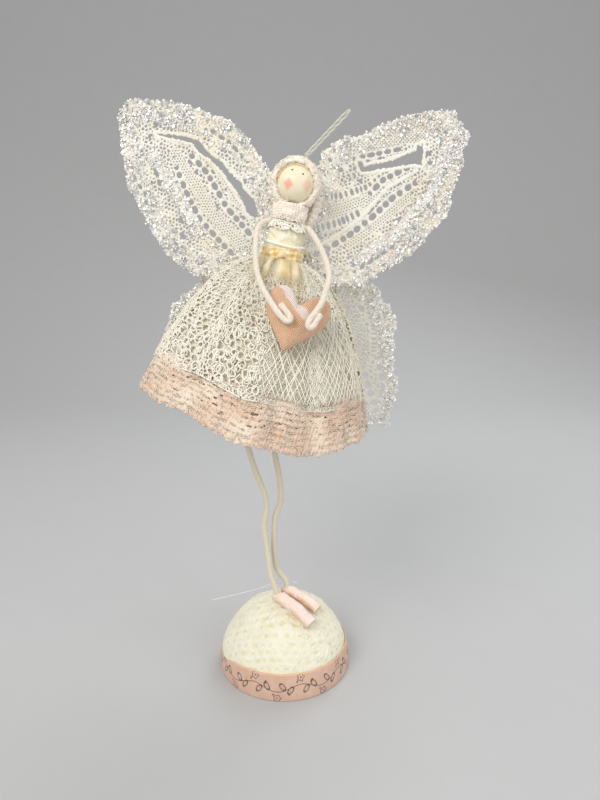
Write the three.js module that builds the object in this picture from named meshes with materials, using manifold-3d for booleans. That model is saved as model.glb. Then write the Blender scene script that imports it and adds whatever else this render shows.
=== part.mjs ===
// A standing lace angel: a wire-legged cloth doll with lace wings and a full net skirt,
// holding a padded heart, on a lace-covered half ball edged with ribbon.
// Millimetres, +Z up. The angel faces -Y and +X is on the viewer's right.
// The origin is the centre of the flat underside of the base.

import * as THREE from 'three';
import { mergeVertices } from 'three/addons/utils/BufferGeometryUtils.js';
import Module from 'manifold-3d';

const wasm = await Module();
wasm.setup();

// Clearances
const gap = 0.3;
const layerGap = 0.6;
const cutOverrun = 1;

// Base: a half ball of foam on a short straight foot, in a knitted lace cover and a ribbon
const ballRadius = 38.4;
const footHeight = 2.8;
const coverThickness = 0.9;
const coverHem = 0.4;
const ribbonHeight = 16;
const ribbonThickness = 0.5;
const ribbonLift = 0.2;
const ribbonLean = 0.7;

// Legs: soft cords threaded on steel wire
const legCordRadius = 1.6;
const legWireRadius = 0.6;
const legWireSunk = 14;
const legWireInTorso = 10;
const legSway = 25;
const ankleLift = 9;
const leftAnkleX = -4.2;
const leftAnkleY = -4.7;
const rightAnkleX = 0.8;
const rightAnkleY = 2.2;

// Shoes: rolled satin tubes lying on the dome
const leftShoeRadius = 3.9;
const rightShoeRadius = 3.3;
const leftShoeLength = 31;
const rightShoeLength = 27;
const shoeWall = 0.7;
const shoeHeel = 3;
const leftShoeTurnDegrees = -41;
const rightShoeTurnDegrees = -31;

// Thread tied behind the ankles
const tieRadius = 0.35;
const tieReach = 46;
const tieRise = 12;
const tieHeight = 38;

// Body: the whole doll leans to the viewer's right
const leanDegrees = 11.3;
const waistX = -0.9;
const waistHeight = 247;
const torsoWidth = 18.8;
const torsoDepth = 12.4;
const torsoHeight = 22.5;
const torsoBelowWaist = 8;
const hipSpacing = 6.4;
const bodiceThickness = 0.8;
const sashThickness = 0.9;
const sashHeight = 6.7;
const knotRadius = 2.2;
const tailWidth = 2.6;
const tailThickness = 0.4;

// Head, hair, hood and scarf
const headRadius = 11;
const headHeight = 41;
const neckRadius = 1.6;
const neckSunk = 8;
const hairRadius = 0.45;
const hairForward = 4.5;
const hoodThickness = 2.9;
const hoodStretchShare = 1.05;
const scarfRadius = 10.6;
const scarfThickness = 3.2;
const scarfHeight = 8;
const scarfRib = 0.35;

// Hanging loop on the crown
const loopLength = 31;
const loopStrandRadius = 0.65;
const loopSpread = 2.2;
const loopTipBend = 0.8;
const loopKnotRadius = 1.1;
const loopX = 3.3;
const loopTiltDegrees = 34;

// Skirt: a bell of net over a lining, with a crochet border
const skirtDrop = 85.3;
const skirtWidth = 133;
const skirtFrontDepth = 64;
const skirtBackDepth = 50;
const skirtFrontSag = 3;
const hemLift = 11;
const netThickness = 0.7;
const borderThickness = 0.8;
const liningThickness = 0.5;
const foldDepth = 2.2;
const picotDepth = 1.8;

// Arms: soft cords threaded on thin wire, folded back on themselves for hands
const armCordRadius = 1.5;
const armWireRadius = 0.45;
const armWireInTorso = 3;

// Padded heart
const heartWidth = 33;
const heartLength = 34;
const heartCrown = 5.6;
const heartSkin = 0.6;
const heartX = 13;
const heartDrop = 27;
const heartLeanDegrees = 28;
const heartTurnDegrees = -8;
const heartNestle = 0.75;

// Lace wings
const laceThickness = 0.8;
const leftWingSpan = 94;
const leftWingRise = 86;
const rightWingSpan = 106;
const rightWingRise = 80;
const lowerLeftSpan = 80;
const lowerLeftDrop = 80;
const lowerRightSpan = 76;
const lowerRightDrop = 119;
const wingRootX = 1;
const wingRootHeight = 250;
const wingTuck = 4;
const meshPitch = 9.2;
const meshHole = 3;
const eyeletLong = 2.2;
const eyeletShort = 1.4;
const eyeletPitch = 6.4;
const leafWidth = 6;
const laceSelvage = 1.5;

// Slopes and facet counts
const wingSweepShare = 0.21;
const lowerWingSlopeShare = 0.5;
const netStrayShare = 0.05;
const armReachShare = 1.06;
const shoulderOutShare = 0.492;
const shoulderUpShare = 0.907;
const roundSides = 24;
const domeSides = 24;
const cordSides = 8;
const wireSides = 4;
const legSteps = 24;
const armSteps = 36;
const armStepsPastWire = 8;
const skirtStations = 56;
const liningStations = 28;
const skirtFoldCount = 7;

// Colours, roughness and metalness of the finishes
const finishes = {
  foam: [0xf4f2ea, 0.9, 0],
  knit: [0xeee6c9, 0.95, 0],
  ribbon: [0xcda487, 0.7, 0],
  cord: [0xd9cfbd, 0.9, 0],
  wire: [0xb9bcc0, 0.35, 1],
  satin: [0xe6c3a4, 0.5, 0],
  thread: [0xdedbe2, 0.6, 0],
  felt: [0xe3dcc6, 0.95, 0],
  bodice: [0xe3d7ab, 0.6, 0],
  sash: [0xdcaa4f, 0.5, 0],
  wood: [0xe0d2a4, 0.55, 0],
  hair: [0xcaa256, 0.8, 0],
  hood: [0xe9d6c3, 0.95, 0],
  net: [0xe0d8b4, 0.9, 0],
  lining: [0xd8caa2, 0.9, 0],
  border: [0xd3b094, 0.9, 0],
  heart: [0xcb9270, 0.55, 0],
  wadding: [0xf2efe8, 1, 0],
  lace: [0xece8d8, 0.7, 0],
};

const angel = new THREE.Group();

function place(name, geometry, finish, parent = angel) {
  const [color, roughness, metalness] = finishes[finish];
  const material = new THREE.MeshStandardMaterial({ color, roughness, metalness });
  const mesh = new THREE.Mesh(geometry, material);
  mesh.name = name;
  parent.add(mesh);
  return mesh;
}

// Solid and surface helpers

function signedVolume(positions, indices) {
  const a = new THREE.Vector3();
  const b = new THREE.Vector3();
  const c = new THREE.Vector3();
  let sum = 0;
  for (let i = 0; i < indices.length; i += 3) {
    a.fromArray(positions, indices[i] * 3);
    b.fromArray(positions, indices[i + 1] * 3);
    c.fromArray(positions, indices[i + 2] * 3);
    sum += a.dot(b.cross(c));
  }
  return sum;
}

// One merged vertex at each corner, no collapsed triangles and every face pointing out
function tidy(geometry) {
  const bare = geometry.clone();
  bare.deleteAttribute('normal');
  bare.deleteAttribute('uv');
  const merged = mergeVertices(bare);
  const source = merged.index.array;
  const kept = [];
  for (let i = 0; i < source.length; i += 3) {
    const [p, q, r] = [source[i], source[i + 1], source[i + 2]];
    if (p !== q && q !== r && r !== p) kept.push(p, q, r);
  }
  const positions = merged.attributes.position.array;
  if (signedVolume(positions, kept) < 0) {
    for (let i = 0; i < kept.length; i += 3) [kept[i + 1], kept[i + 2]] = [kept[i + 2], kept[i + 1]];
  }
  const clean = new THREE.BufferGeometry();
  clean.setAttribute('position', new THREE.BufferAttribute(new Float32Array(positions), 3));
  clean.setIndex(kept);
  clean.computeVertexNormals();
  return clean;
}

function toSolid(geometry) {
  const clean = tidy(geometry);
  return new wasm.Manifold(new wasm.Mesh({
    numProp: 3,
    vertProperties: clean.attributes.position.array,
    triVerts: new Uint32Array(clean.index.array),
  }));
}

function toGeometry(solid) {
  const mesh = solid.getMesh();
  const geometry = new THREE.BufferGeometry();
  geometry.setAttribute('position', new THREE.BufferAttribute(new Float32Array(mesh.vertProperties), 3));
  geometry.setIndex(Array.from(mesh.triVerts));
  geometry.computeVertexNormals();
  return geometry;
}

function cut(geometry, ...tools) {
  return toGeometry(tools.reduce((solid, tool) => solid.subtract(toSolid(tool)), toSolid(geometry)));
}

function join(geometry, ...others) {
  return toGeometry(others.reduce((solid, other) => solid.add(toSolid(other)), toSolid(geometry)));
}

// Skin over a stack of loops with equal point counts. A ring stack closes on its first loop,
// and an open stack is capped by a fan over each end loop.
function loft(loops, ring = false) {
  const size = loops[0].length;
  const positions = loops.flat().flatMap((p) => [p.x, p.y, p.z]);
  const indices = [];
  const spans = ring ? loops.length : loops.length - 1;
  for (let i = 0; i < spans; i++) {
    const low = i * size;
    const high = ((i + 1) % loops.length) * size;
    for (let j = 0; j < size; j++) {
      const k = (j + 1) % size;
      indices.push(low + j, low + k, high + k, low + j, high + k, high + j);
    }
  }
  if (!ring) {
    const last = (loops.length - 1) * size;
    for (let j = 1; j < size - 1; j++) {
      indices.push(0, j + 1, j, last, last + j, last + j + 1);
    }
  }
  const geometry = new THREE.BufferGeometry();
  geometry.setAttribute('position', new THREE.Float32BufferAttribute(positions, 3));
  geometry.setIndex(indices);
  return tidy(geometry);
}

function circle(radius, sides) {
  return Array.from({ length: sides }, (_, i) => {
    const angle = (2 * Math.PI * i) / sides;
    return new THREE.Vector2(radius * Math.cos(angle), radius * Math.sin(angle));
  });
}

// Round tube along a curve, with an optional bore
function tube(path, radius, sides, steps, boreRadius = 0) {
  const section = new THREE.Shape(circle(radius, sides));
  if (boreRadius > 0) section.holes.push(new THREE.Path(circle(boreRadius, wireSides)));
  return tidy(new THREE.ExtrudeGeometry(section, { steps, extrudePath: path, bevelEnabled: false }));
}

// Thin wire through given stations, so that it follows the same bends as the cord round it
function wireThrough(stations, radius) {
  const last = stations.length - 1;
  const side = new THREE.Vector3(0, 1, 0);
  return loft(stations.map((station, i) => {
    const ahead = stations[Math.min(i + 1, last)].clone().sub(stations[Math.max(i - 1, 0)]).normalize();
    side.addScaledVector(ahead, -side.dot(ahead)).normalize();
    const up = new THREE.Vector3().crossVectors(ahead, side);
    return circle(radius, wireSides).map((q) => (
      station.clone().addScaledVector(side, q.x).addScaledVector(up, q.y)
    ));
  }));
}

// The bore that a wire of few flats clears all round
function boreFor(wireRadius) {
  return (wireRadius + gap) / Math.cos(Math.PI / wireSides);
}

// The stretch of a route between two of its points, as a curve of its own
function stretch(route, fromPoint, toPoint, samples = 40) {
  const last = route.points.length - 1;
  const points = Array.from({ length: samples + 1 }, (_, i) => {
    const share = THREE.MathUtils.lerp(fromPoint, toPoint, i / samples) / last;
    return route.getPoint(share);
  });
  return new THREE.CatmullRomCurve3(points);
}

// Turned shape about +Z from a profile of [radius, height] pairs
function turned(profile, sides) {
  const points = profile.map(([r, z]) => new THREE.Vector2(r, z));
  return tidy(new THREE.LatheGeometry(points, sides).rotateX(Math.PI / 2));
}

// Oval loop at one height
function oval(halfWidth, halfDepth, z, sides = roundSides) {
  return circle(1, sides).map((p) => new THREE.Vector3(p.x * halfWidth, p.y * halfDepth, z));
}

// Base

const coverInner = ballRadius + gap;
const coverRadius = coverInner + coverThickness;
const domeCentre = new THREE.Vector3(0, 0, footHeight);

function domeProfile(radius, bottom, stepsUp = 7) {
  const profile = [[radius, bottom]];
  for (let i = 0; i <= stepsUp; i++) {
    const angle = (Math.PI / 2) * (i / stepsUp);
    profile.push([i === stepsUp ? 0 : radius * Math.cos(angle), footHeight + radius * Math.sin(angle)]);
  }
  return profile;
}

// A point above the dome's centre in the direction of a place on its surface
function domeDirection(x, y) {
  const height = Math.sqrt(coverRadius ** 2 - x ** 2 - y ** 2);
  return new THREE.Vector3(x, y, height).normalize();
}

function aboveDome(direction, distance) {
  return domeCentre.clone().addScaledVector(direction, distance);
}

const leftAnkle = domeDirection(leftAnkleX, leftAnkleY);
const rightAnkle = domeDirection(rightAnkleX, rightAnkleY);

// The leaning doll above the waist, and everything sewn to it

const figure = new THREE.Group();
figure.position.set(waistX, 0, waistHeight);
figure.rotation.y = THREE.MathUtils.degToRad(leanDegrees);
figure.updateMatrixWorld();
angel.add(figure);

function fromFigure(x, y, z) {
  return figure.localToWorld(new THREE.Vector3(x, y, z));
}

// Leg routes: sideways, backward and upward shares of the sway and of the rise

const leftLegShares = [
  [-0.33, -0.18, 0.052], [-0.41, -0.12, 0.137], [-0.48, -0.08, 0.214], [-0.42, -0.06, 0.276],
  [-0.46, -0.05, 0.32], [-0.68, -0.04, 0.40], [-0.83, -0.04, 0.472], [-0.96, -0.04, 0.568],
  [-0.92, -0.04, 0.70], [-0.60, 0, 0.858],
];
const rightLegShares = [
  [-0.20, 0.10, 0.052], [-0.256, 0.10, 0.118], [-0.25, 0.10, 0.175], [-0.224, 0.09, 0.232],
  [-0.11, 0.08, 0.276], [-0.08, 0.06, 0.308], [-0.11, 0.05, 0.37], [-0.21, 0.04, 0.449],
  [-0.28, 0.04, 0.568], [-0.24, 0.04, 0.70], [-0.12, 0, 0.858],
];

function legRoute(ankle, shares, side) {
  const ankleTop = aboveDome(ankle, coverRadius + gap + ankleLift);
  const hip = (side * hipSpacing) / 2;
  const hipHeight = waistHeight - torsoBelowWaist;
  const points = [
    aboveDome(ankle, coverRadius - legWireSunk),
    aboveDome(ankle, coverRadius + gap),
    ankleTop,
    ...shares.map(([x, y, z]) => new THREE.Vector3(
      x * legSway, y * legSway, THREE.MathUtils.lerp(ankleTop.z, hipHeight, z),
    )),
    fromFigure(hip, 0, -torsoBelowWaist - gap),
    fromFigure(hip, 0, -torsoBelowWaist + legWireInTorso),
  ];
  return new THREE.CatmullRomCurve3(points);
}

const leftLegRoute = legRoute(leftAnkle, leftLegShares, -1);
const rightLegRoute = legRoute(rightAnkle, rightLegShares, 1);

function legParts(side, route) {
  const last = route.points.length - 1;
  const sleeve = stretch(route, 1, last - 1);
  const cord = tube(sleeve, legCordRadius, cordSides, legSteps, boreFor(legWireRadius));
  const stations = sleeve.getSpacedPoints(legSteps);
  const wire = wireThrough([route.points[0], ...stations, route.points[last]], legWireRadius);
  place(`leg_${side}_cord`, cord, 'cord');
  place(`leg_${side}_wire`, wire, 'wire');
}

legParts('left', leftLegRoute);
legParts('right', rightLegRoute);

// The straight hole that a leg's wire leaves in the ball and its cover
function legHole(route, radiusOfHole) {
  const low = route.points[0].clone();
  const up = route.points[1].clone().sub(low).normalize();
  const bottom = low.clone().addScaledVector(up, -gap);
  const top = route.points[1].clone().addScaledVector(up, cutOverrun);
  return tube(new THREE.LineCurve3(bottom, top), radiusOfHole, cordSides, 1);
}

const wireHoleRadius = legWireRadius + gap + gap;
const holes = [legHole(leftLegRoute, wireHoleRadius), legHole(rightLegRoute, wireHoleRadius)];
place('base_core', cut(turned([[0, 0], ...domeProfile(ballRadius, 0)], domeSides), ...holes), 'foam');

const coverProfile = [
  ...domeProfile(coverRadius, coverHem),
  ...domeProfile(coverInner, coverHem).reverse(),
  [coverRadius, coverHem],
];
place('base_cover', cut(turned(coverProfile, domeSides), ...holes), 'knit');

const ribbonInner = coverRadius + gap;
const ribbonTopInner = ribbonInner - ribbonLean;
const ribbonTop = ribbonLift + ribbonHeight;
place('base_ribbon', turned([
  [ribbonInner, ribbonLift],
  [ribbonInner + ribbonThickness, ribbonLift],
  [ribbonInner + ribbonThickness, ribbonTop / 2],
  [ribbonTopInner + ribbonThickness, ribbonTop],
  [ribbonTopInner, ribbonTop],
  [ribbonInner, ribbonTop / 2],
  [ribbonInner, ribbonLift],
], domeSides + domeSides / 2), 'ribbon');

// Shoes: a rolled tube laid over the dome, hollow from the instep to the open toe

function shoe(name, ankle, radius, length, turnDegrees) {
  const distance = coverRadius + gap + radius;
  const turn = THREE.MathUtils.degToRad(turnDegrees);
  const heading = new THREE.Vector3(Math.cos(turn), Math.sin(turn), 0);
  const axis = new THREE.Vector3().crossVectors(ankle, heading).normalize();
  const along = (travel) => aboveDome(ankle.clone().applyAxisAngle(axis, travel / distance), distance);
  const arc = (from, to) => new THREE.CatmullRomCurve3(
    [0, 0.25, 0.5, 0.75, 1].map((share) => along(THREE.MathUtils.lerp(from, to, share))),
  );
  const instep = legCordRadius + gap + shoeWall;
  const body = tube(arc(-shoeHeel, length - shoeHeel), radius, 12, 7);
  const hollow = tube(arc(instep, length - shoeHeel + cutOverrun), radius - shoeWall, 10, 6);
  const boreLine = new THREE.LineCurve3(
    aboveDome(ankle, coverRadius - cutOverrun), aboveDome(ankle, distance + radius + cutOverrun),
  );
  const bore = tube(boreLine, legCordRadius + gap, cordSides, 1);
  place(name, cut(body, hollow, bore), 'satin');
}

shoe('shoe_left', leftAnkle, leftShoeRadius, leftShoeLength, leftShoeTurnDegrees);
shoe('shoe_right', rightAnkle, rightShoeRadius, rightShoeLength, rightShoeTurnDegrees);

// A stiff thread tied behind the ankles, with one long free end to the left

const tieShares = [
  [-1, 0.09, 0], [-0.66, 0.09, 0.34], [-0.33, 0.10, 0.68], [-0.16, 0.13, 0.86],
  [-0.03, 0.135, 0.93], [0.06, 0.13, 0.97], [0.16, 0.09, 1],
];
const tieRoute = new THREE.CatmullRomCurve3(
  tieShares.map(([x, y, z]) => new THREE.Vector3(x * tieReach, y * tieReach, tieHeight + z * tieRise)),
);
place('ankle_tie', tube(tieRoute, tieRadius, cordSides, 16), 'thread');

// Torso: a rolled felt body, narrowing from the waist to the neck

const torsoShares = [
  [-1, 0.75], [0, 1], [0.4, 1], [0.6, 0.97], [0.75, 0.92], [0.9, 0.8], [1, 0.62],
];

function torsoLoop([heightShare, widthShare], outward, lift = 0) {
  const scale = heightShare < 0 ? torsoBelowWaist : torsoHeight;
  const halfWidth = (torsoWidth / 2) * widthShare + outward;
  const halfDepth = (torsoDepth / 2) * widthShare + outward;
  return oval(halfWidth, halfDepth, heightShare * scale + lift);
}

const neckBoreRadius = neckRadius + gap;
const neckBottom = torsoHeight - neckSunk;
const neckBore = turned([
  [0, neckBottom - gap], [neckBoreRadius, neckBottom - gap],
  [neckBoreRadius, torsoHeight + cutOverrun], [0, torsoHeight + cutOverrun],
], 12);

// Skirt surface in the doll's frame. A turn share of 0 is the right side and 0.75 the front.
// A fall share of 0 is the waist and 1 the hem.

const skirtWaistX = torsoWidth / 2 + gap;
const skirtWaistY = torsoDepth / 2 + gap;
const frontFullnessShare = 1.2;
const backFullnessShare = 1.5;
const foldSeedShares = [1, 0.5];

function foldAt(angle, fall) {
  const [main, slow] = foldSeedShares;
  const wave = main * Math.sin(skirtFoldCount * angle) + slow * Math.sin((skirtFoldCount - 4) * angle + 1);
  return (foldDepth * fall * wave) / (main + slow);
}

// How much higher the hem hangs at even steps round the skirt, as shares of the lift
const hemLiftShares = [0, 0.15, 0.15, 0.1, 0.1, 0.1, 0.15, 0.95, 0.85, 0.2, -0.15, 0.3];

function hemLiftAt(turn) {
  const count = hemLiftShares.length;
  const along = (((turn % 1) + 1) % 1) * count;
  const step = Math.floor(along);
  const [a, b] = [hemLiftShares[step % count], hemLiftShares[(step + 1) % count]];
  return hemLift * (a + (b - a) * THREE.MathUtils.smoothstep(along - step, 0, 1));
}

function skirtSurface(turn, fall, folded = true) {
  const angle = 2 * Math.PI * turn;
  const isFront = Math.sin(angle) < 0;
  const reach = isFront ? skirtFrontDepth : skirtBackDepth;
  const fullness = isFront ? frontFullnessShare : backFullnessShare;
  const fold = folded ? foldAt(angle, fall) : 0;
  const halfWidth = skirtWaistX + (skirtWidth / 2 - skirtWaistX) * fall + fold;
  const halfDepth = skirtWaistY + (reach - skirtWaistY) * fall ** fullness + fold;
  const sag = skirtFrontSag * fall * Math.max(0, -Math.sin(angle));
  return new THREE.Vector3(
    halfWidth * Math.cos(angle), halfDepth * Math.sin(angle),
    -(skirtDrop + sag - hemLiftAt(turn)) * fall ** 2,
  );
}

// Padded heart held against the skirt

const heartOutlineCount = 24;
const heartBluntShare = 0.35;
const heartWaveShares = [0.086, 0.448, -0.172, -0.069, -0.035];
const heartRings = [0, 0.5, 0.85, 1];
const crownShare = (ring) => (1 - ring ** 2.2) ** 0.6;

// The classic heart curve with a blunter point, scaled to the width and the length
function heartPoint(index, ring) {
  const t = (2 * Math.PI * index) / heartOutlineCount;
  const across = THREE.MathUtils.lerp(Math.sin(t) ** 3, Math.sin(t), heartBluntShare);
  const up = heartWaveShares.reduce((sum, share, wave) => sum + share * Math.cos(wave * t), 0);
  return new THREE.Vector2((across * ring * heartWidth) / 2, up * ring * heartLength);
}

function heartLoop(ring, size, height) {
  return Array.from({ length: heartOutlineCount }, (_, i) => {
    const p = heartPoint(i, ring * size);
    return new THREE.Vector3(p.x, height, p.y);
  });
}

const skinSize = 1 - (2 * heartSkin) / heartWidth;
const stuffingSize = 1 - (2 * (heartSkin + gap)) / heartWidth;
const seamGap = gap / 2;

function heartHalf(facing) {
  const outer = heartRings.map((ring) => (
    heartLoop(ring, 1, facing * (seamGap + heartCrown * crownShare(ring)))
  ));
  const inner = heartRings.map((ring) => (
    heartLoop(ring, skinSize, facing * (seamGap + (heartCrown - heartSkin) * crownShare(ring)))
  ));
  return loft([...outer, ...inner.reverse()], false);
}

const stuffingCrown = heartCrown - heartSkin - gap;
const stuffing = loft([
  ...heartRings.map((ring) => heartLoop(ring, stuffingSize, -stuffingCrown * crownShare(ring))),
  ...heartRings.slice(0, -1).reverse().map((ring) => (
    heartLoop(ring, stuffingSize, stuffingCrown * crownShare(ring))
  )),
]);

const heart = new THREE.Group();
heart.rotation.order = 'XYZ';
heart.rotation.x = -THREE.MathUtils.degToRad(heartLeanDegrees);
heart.rotation.y = -THREE.MathUtils.degToRad(heartTurnDegrees);
heart.position.set(heartX, 0, -heartDrop);

// How far forward the skirt stands at a place across and down
function skirtFrontY(x, z) {
  const fall = Math.sqrt(Math.max(0, -z) / skirtDrop);
  const halfWidth = skirtWaistX + (skirtWidth / 2 - skirtWaistX) * fall;
  const halfDepth = skirtWaistY + (skirtFrontDepth - skirtWaistY) * fall ** frontFullnessShare;
  const share = THREE.MathUtils.clamp(x / halfWidth, -1, 1);
  return -(halfDepth + foldDepth * fall) * Math.sqrt(1 - share ** 2);
}

heart.updateMatrix();
let heartY = 0;
for (const ring of heartRings) {
  for (const point of heartLoop(ring, 1, seamGap + heartCrown * crownShare(ring))) {
    const p = point.applyMatrix4(heart.matrix);
    heartY = Math.min(heartY, skirtFrontY(p.x, p.z) - gap - p.y);
  }
}
heart.position.y = heartY + heartNestle;
figure.add(heart);

place('heart_front', heartHalf(-1), 'heart', heart);
place('heart_back', heartHalf(1), 'heart', heart);
place('heart_stuffing', stuffing, 'wadding', heart);

// Arm routes in the doll's own frame, from a shoulder on the torso's side to the heart's face,
// as shares of the reach

const leftArmShares = [
  [-0.185, -0.03, 0.408], [-0.222, -0.04, 0.396], [-0.28, -0.07, 0.352], [-0.308, -0.13, 0.28],
  [-0.29, -0.26, 0.13], [-0.244, -0.45, -0.04], [-0.19, -0.62, -0.166], [-0.118, -0.76, -0.27],
  [-0.028, -0.885, -0.364], [0.07, -0.965, -0.456], [0.15, -1.01, -0.518], [0.208, -1.025, -0.532],
  [0.236, -1.01, -0.486], [0.176, -0.965, -0.418], [0.10, -0.925, -0.364],
];
const rightArmShares = [
  [0.185, -0.03, 0.408], [0.225, -0.05, 0.396], [0.30, -0.14, 0.332], [0.42, -0.31, 0.18],
  [0.486, -0.48, 0.058], [0.524, -0.64, -0.066], [0.512, -0.76, -0.186], [0.49, -0.88, -0.312],
  [0.445, -0.965, -0.412], [0.41, -1.0, -0.465], [0.392, -1.03, -0.525], [0.422, -1.035, -0.562],
  [0.465, -1.02, -0.535], [0.482, -0.985, -0.48],
];

const armReach = armReachShare * (heartCrown - heart.position.y);
const shoulderX = shoulderOutShare * torsoWidth;
const shoulderZ = shoulderUpShare * torsoHeight;

function armRoute(shares, side) {
  const [startX, , startZ] = shares[0];
  const points = shares.map(([x, y, z]) => new THREE.Vector3(
    side * shoulderX + (x - startX) * armReach, y * armReach, shoulderZ + (z - startZ) * armReach,
  ));
  const start = points[0].clone();
  points.unshift(new THREE.Vector3(start.x - side * (armWireInTorso + gap), start.y, start.z));
  return new THREE.CatmullRomCurve3(points);
}

const leftArmRoute = armRoute(leftArmShares, -1);
const rightArmRoute = armRoute(rightArmShares, 1);

function armParts(side, route) {
  const last = route.points.length - 1;
  const sleeve = stretch(route, 1, last, 60);
  const cord = tube(sleeve, armCordRadius, cordSides, armSteps, boreFor(armWireRadius));
  const stations = sleeve.getSpacedPoints(armSteps).slice(0, -armStepsPastWire);
  const wire = wireThrough([route.points[0], ...stations], armWireRadius);
  place(`arm_${side}_cord`, cord, 'cord', figure);
  place(`arm_${side}_wire`, wire, 'wire', figure);
}

armParts('left', leftArmRoute);
armParts('right', rightArmRoute);

function shoulderHole(route) {
  const start = route.points[1].clone();
  const inner = route.points[0].clone();
  const outward = start.clone().sub(inner).normalize();
  inner.addScaledVector(outward, -gap);
  start.addScaledVector(outward, gap);
  const line = new THREE.LineCurve3(inner, start);
  return tube(line, armWireRadius + gap + gap, cordSides, 1);
}

function hipHole(side) {
  const hip = (side * hipSpacing) / 2;
  const bottom = new THREE.Vector3(hip, 0, -torsoBelowWaist - cutOverrun);
  const top = new THREE.Vector3(hip, 0, -torsoBelowWaist + legWireInTorso + gap);
  return tube(new THREE.LineCurve3(bottom, top), wireHoleRadius, cordSides, 1);
}

const shoulderHoles = [shoulderHole(leftArmRoute), shoulderHole(rightArmRoute)];
const torso = loft(torsoShares.map((share) => torsoLoop(share, 0)));
place('torso_core', cut(torso, neckBore, ...shoulderHoles, hipHole(-1), hipHole(1)), 'felt', figure);

// Bodice: satin wrapped round the torso above the waist
const bodiceInner = gap;
const bodiceOuter = bodiceInner + bodiceThickness;
const bodiceShares = torsoShares.slice(1);
const bodice = loft([
  ...bodiceShares.map((share, i) => torsoLoop(share, bodiceOuter, i === 0 ? gap : 0)),
  ...bodiceShares.map((share, i) => torsoLoop(share, bodiceInner, i === 0 ? gap : 0)).reverse(),
], true);
place('bodice', cut(bodice, ...shoulderHoles), 'bodice', figure);

const normalStepShare = 0.02;

function skirtNormal(turn, fall, folded) {
  const across = skirtSurface(turn + normalStepShare, fall, folded)
    .sub(skirtSurface(turn - normalStepShare, fall, folded));
  const lower = Math.min(1, fall + normalStepShare);
  const upper = Math.max(0, fall - normalStepShare);
  const down = skirtSurface(turn, lower, folded).sub(skirtSurface(turn, upper, folded));
  return down.cross(across).normalize();
}

function skirtLayerPoint(turn, fall, inset, folded = true) {
  return skirtSurface(turn, fall, folded).addScaledVector(skirtNormal(turn, fall, folded), -inset);
}

// One loop of a cloth layer: between its stations the loop runs straight, so that
// a layer with more points lies flat on one with fewer
function skirtLoop(stations, perStation, fall, inset, folded = true) {
  const corners = Array.from({ length: stations }, (_, i) => (
    skirtLayerPoint(i / stations, fall, inset, folded)
  ));
  return corners.flatMap((corner, i) => {
    const next = corners[(i + 1) % stations];
    return Array.from({ length: perStation }, (_, j) => corner.clone().lerp(next, j / perStation));
  });
}

function clothLayer(falls, insetAt, thickness, stations, perStation = 1, folded = true) {
  const layer = (extra) => falls.map((fall) => (
    skirtLoop(stations, perStation, fall, insetAt(fall) + extra, folded)
  ));
  return { outer: layer(0), inner: layer(thickness) };
}

function evenFalls(from, to, rows) {
  return Array.from({ length: rows + 1 }, (_, i) => THREE.MathUtils.lerp(from, to, i / rows));
}

const netEndShare = 0.82;
const borderStartShare = 0.79;
const liningStartShare = 0.03;
const liningEndShare = 0.95;
const netRows = 7;
const liningRows = 5;

const net = clothLayer(evenFalls(0, netEndShare, netRows), () => 0, netThickness, skirtStations);
place('skirt_net', loft([...net.outer, ...net.inner.reverse()], true), 'net', figure);

// Crochet border under the edge of the net, with a picot point at every second stitch
const borderInset = netThickness + layerGap;
const border = clothLayer([borderStartShare, 1], () => borderInset, borderThickness, skirtStations, 2);
for (const loops of [border.outer, border.inner]) {
  loops[1].forEach((point, i) => {
    if (i % 2 === 0) point.z -= picotDepth;
  });
}
place('skirt_border', loft([...border.outer, ...border.inner.reverse()], true), 'border', figure);

const liningInset = (fall) => borderInset + (borderThickness + layerGap + foldDepth) * fall;
const liningFalls = evenFalls(liningStartShare, liningEndShare, liningRows);
const lining = clothLayer(liningFalls, liningInset, liningThickness, liningStations, 1, false);
place('skirt_lining', loft([...lining.outer, ...lining.inner.reverse()], true), 'lining', figure);

// Waist sash: a band, a soft knot at the front and two tails on the skirt

const sashInner = bodiceOuter + gap;
const sashOuter = sashInner + sashThickness;
const sashBand = loft([
  torsoLoop([0, 1], sashOuter, gap),
  torsoLoop([0, 1], sashOuter, sashHeight),
  torsoLoop([0, 1], sashInner, sashHeight),
  torsoLoop([0, 1], sashInner, gap),
], true);
const knotY = -(torsoDepth / 2 + sashOuter);
const knotShareZ = 0.7;
const sashKnot = new THREE.SphereGeometry(knotRadius, 10, 7);
sashKnot.scale(1, knotShareZ, knotShareZ);
sashKnot.translate(0, knotY - sashThickness, sashHeight / 2);
const knotClear = torsoLoop([0, 1], sashInner + sashThickness / 2);
const knotCutter = loft([0, 1].map((share) => knotClear.map(
  (p) => new THREE.Vector3(p.x, p.y, share * (sashHeight + cutOverrun) - cutOverrun / 2),
)));

function sashTail(turn, fallEnd) {
  const side = new THREE.Vector3(1, 0, 0);
  const loops = evenFalls(0.06, fallEnd, 4).map((fall, i) => {
    const normal = skirtNormal(turn, fall, false);
    const centre = skirtLayerPoint(turn, fall, -(gap + foldDepth * fall + tailThickness / 2), false);
    if (i === 0) centre.set(centre.x, knotY - sashThickness, (sashHeight - knotRadius * knotShareZ) / 2);
    const half = normal.multiplyScalar(tailThickness / 2);
    const wide = side.clone().multiplyScalar(tailWidth / 2);
    return [
      centre.clone().add(half).add(wide), centre.clone().add(half).sub(wide),
      centre.clone().sub(half).sub(wide), centre.clone().sub(half).add(wide),
    ];
  });
  return loft(loops);
}

const knot = cut(sashKnot, knotCutter);
place('waist_sash', join(sashBand, knot, sashTail(0.735, 0.33), sashTail(0.785, 0.38)), 'sash', figure);

// Head: a wooden bead on a peg

const head = new THREE.Group();
head.position.z = headHeight;
figure.add(head);

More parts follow.
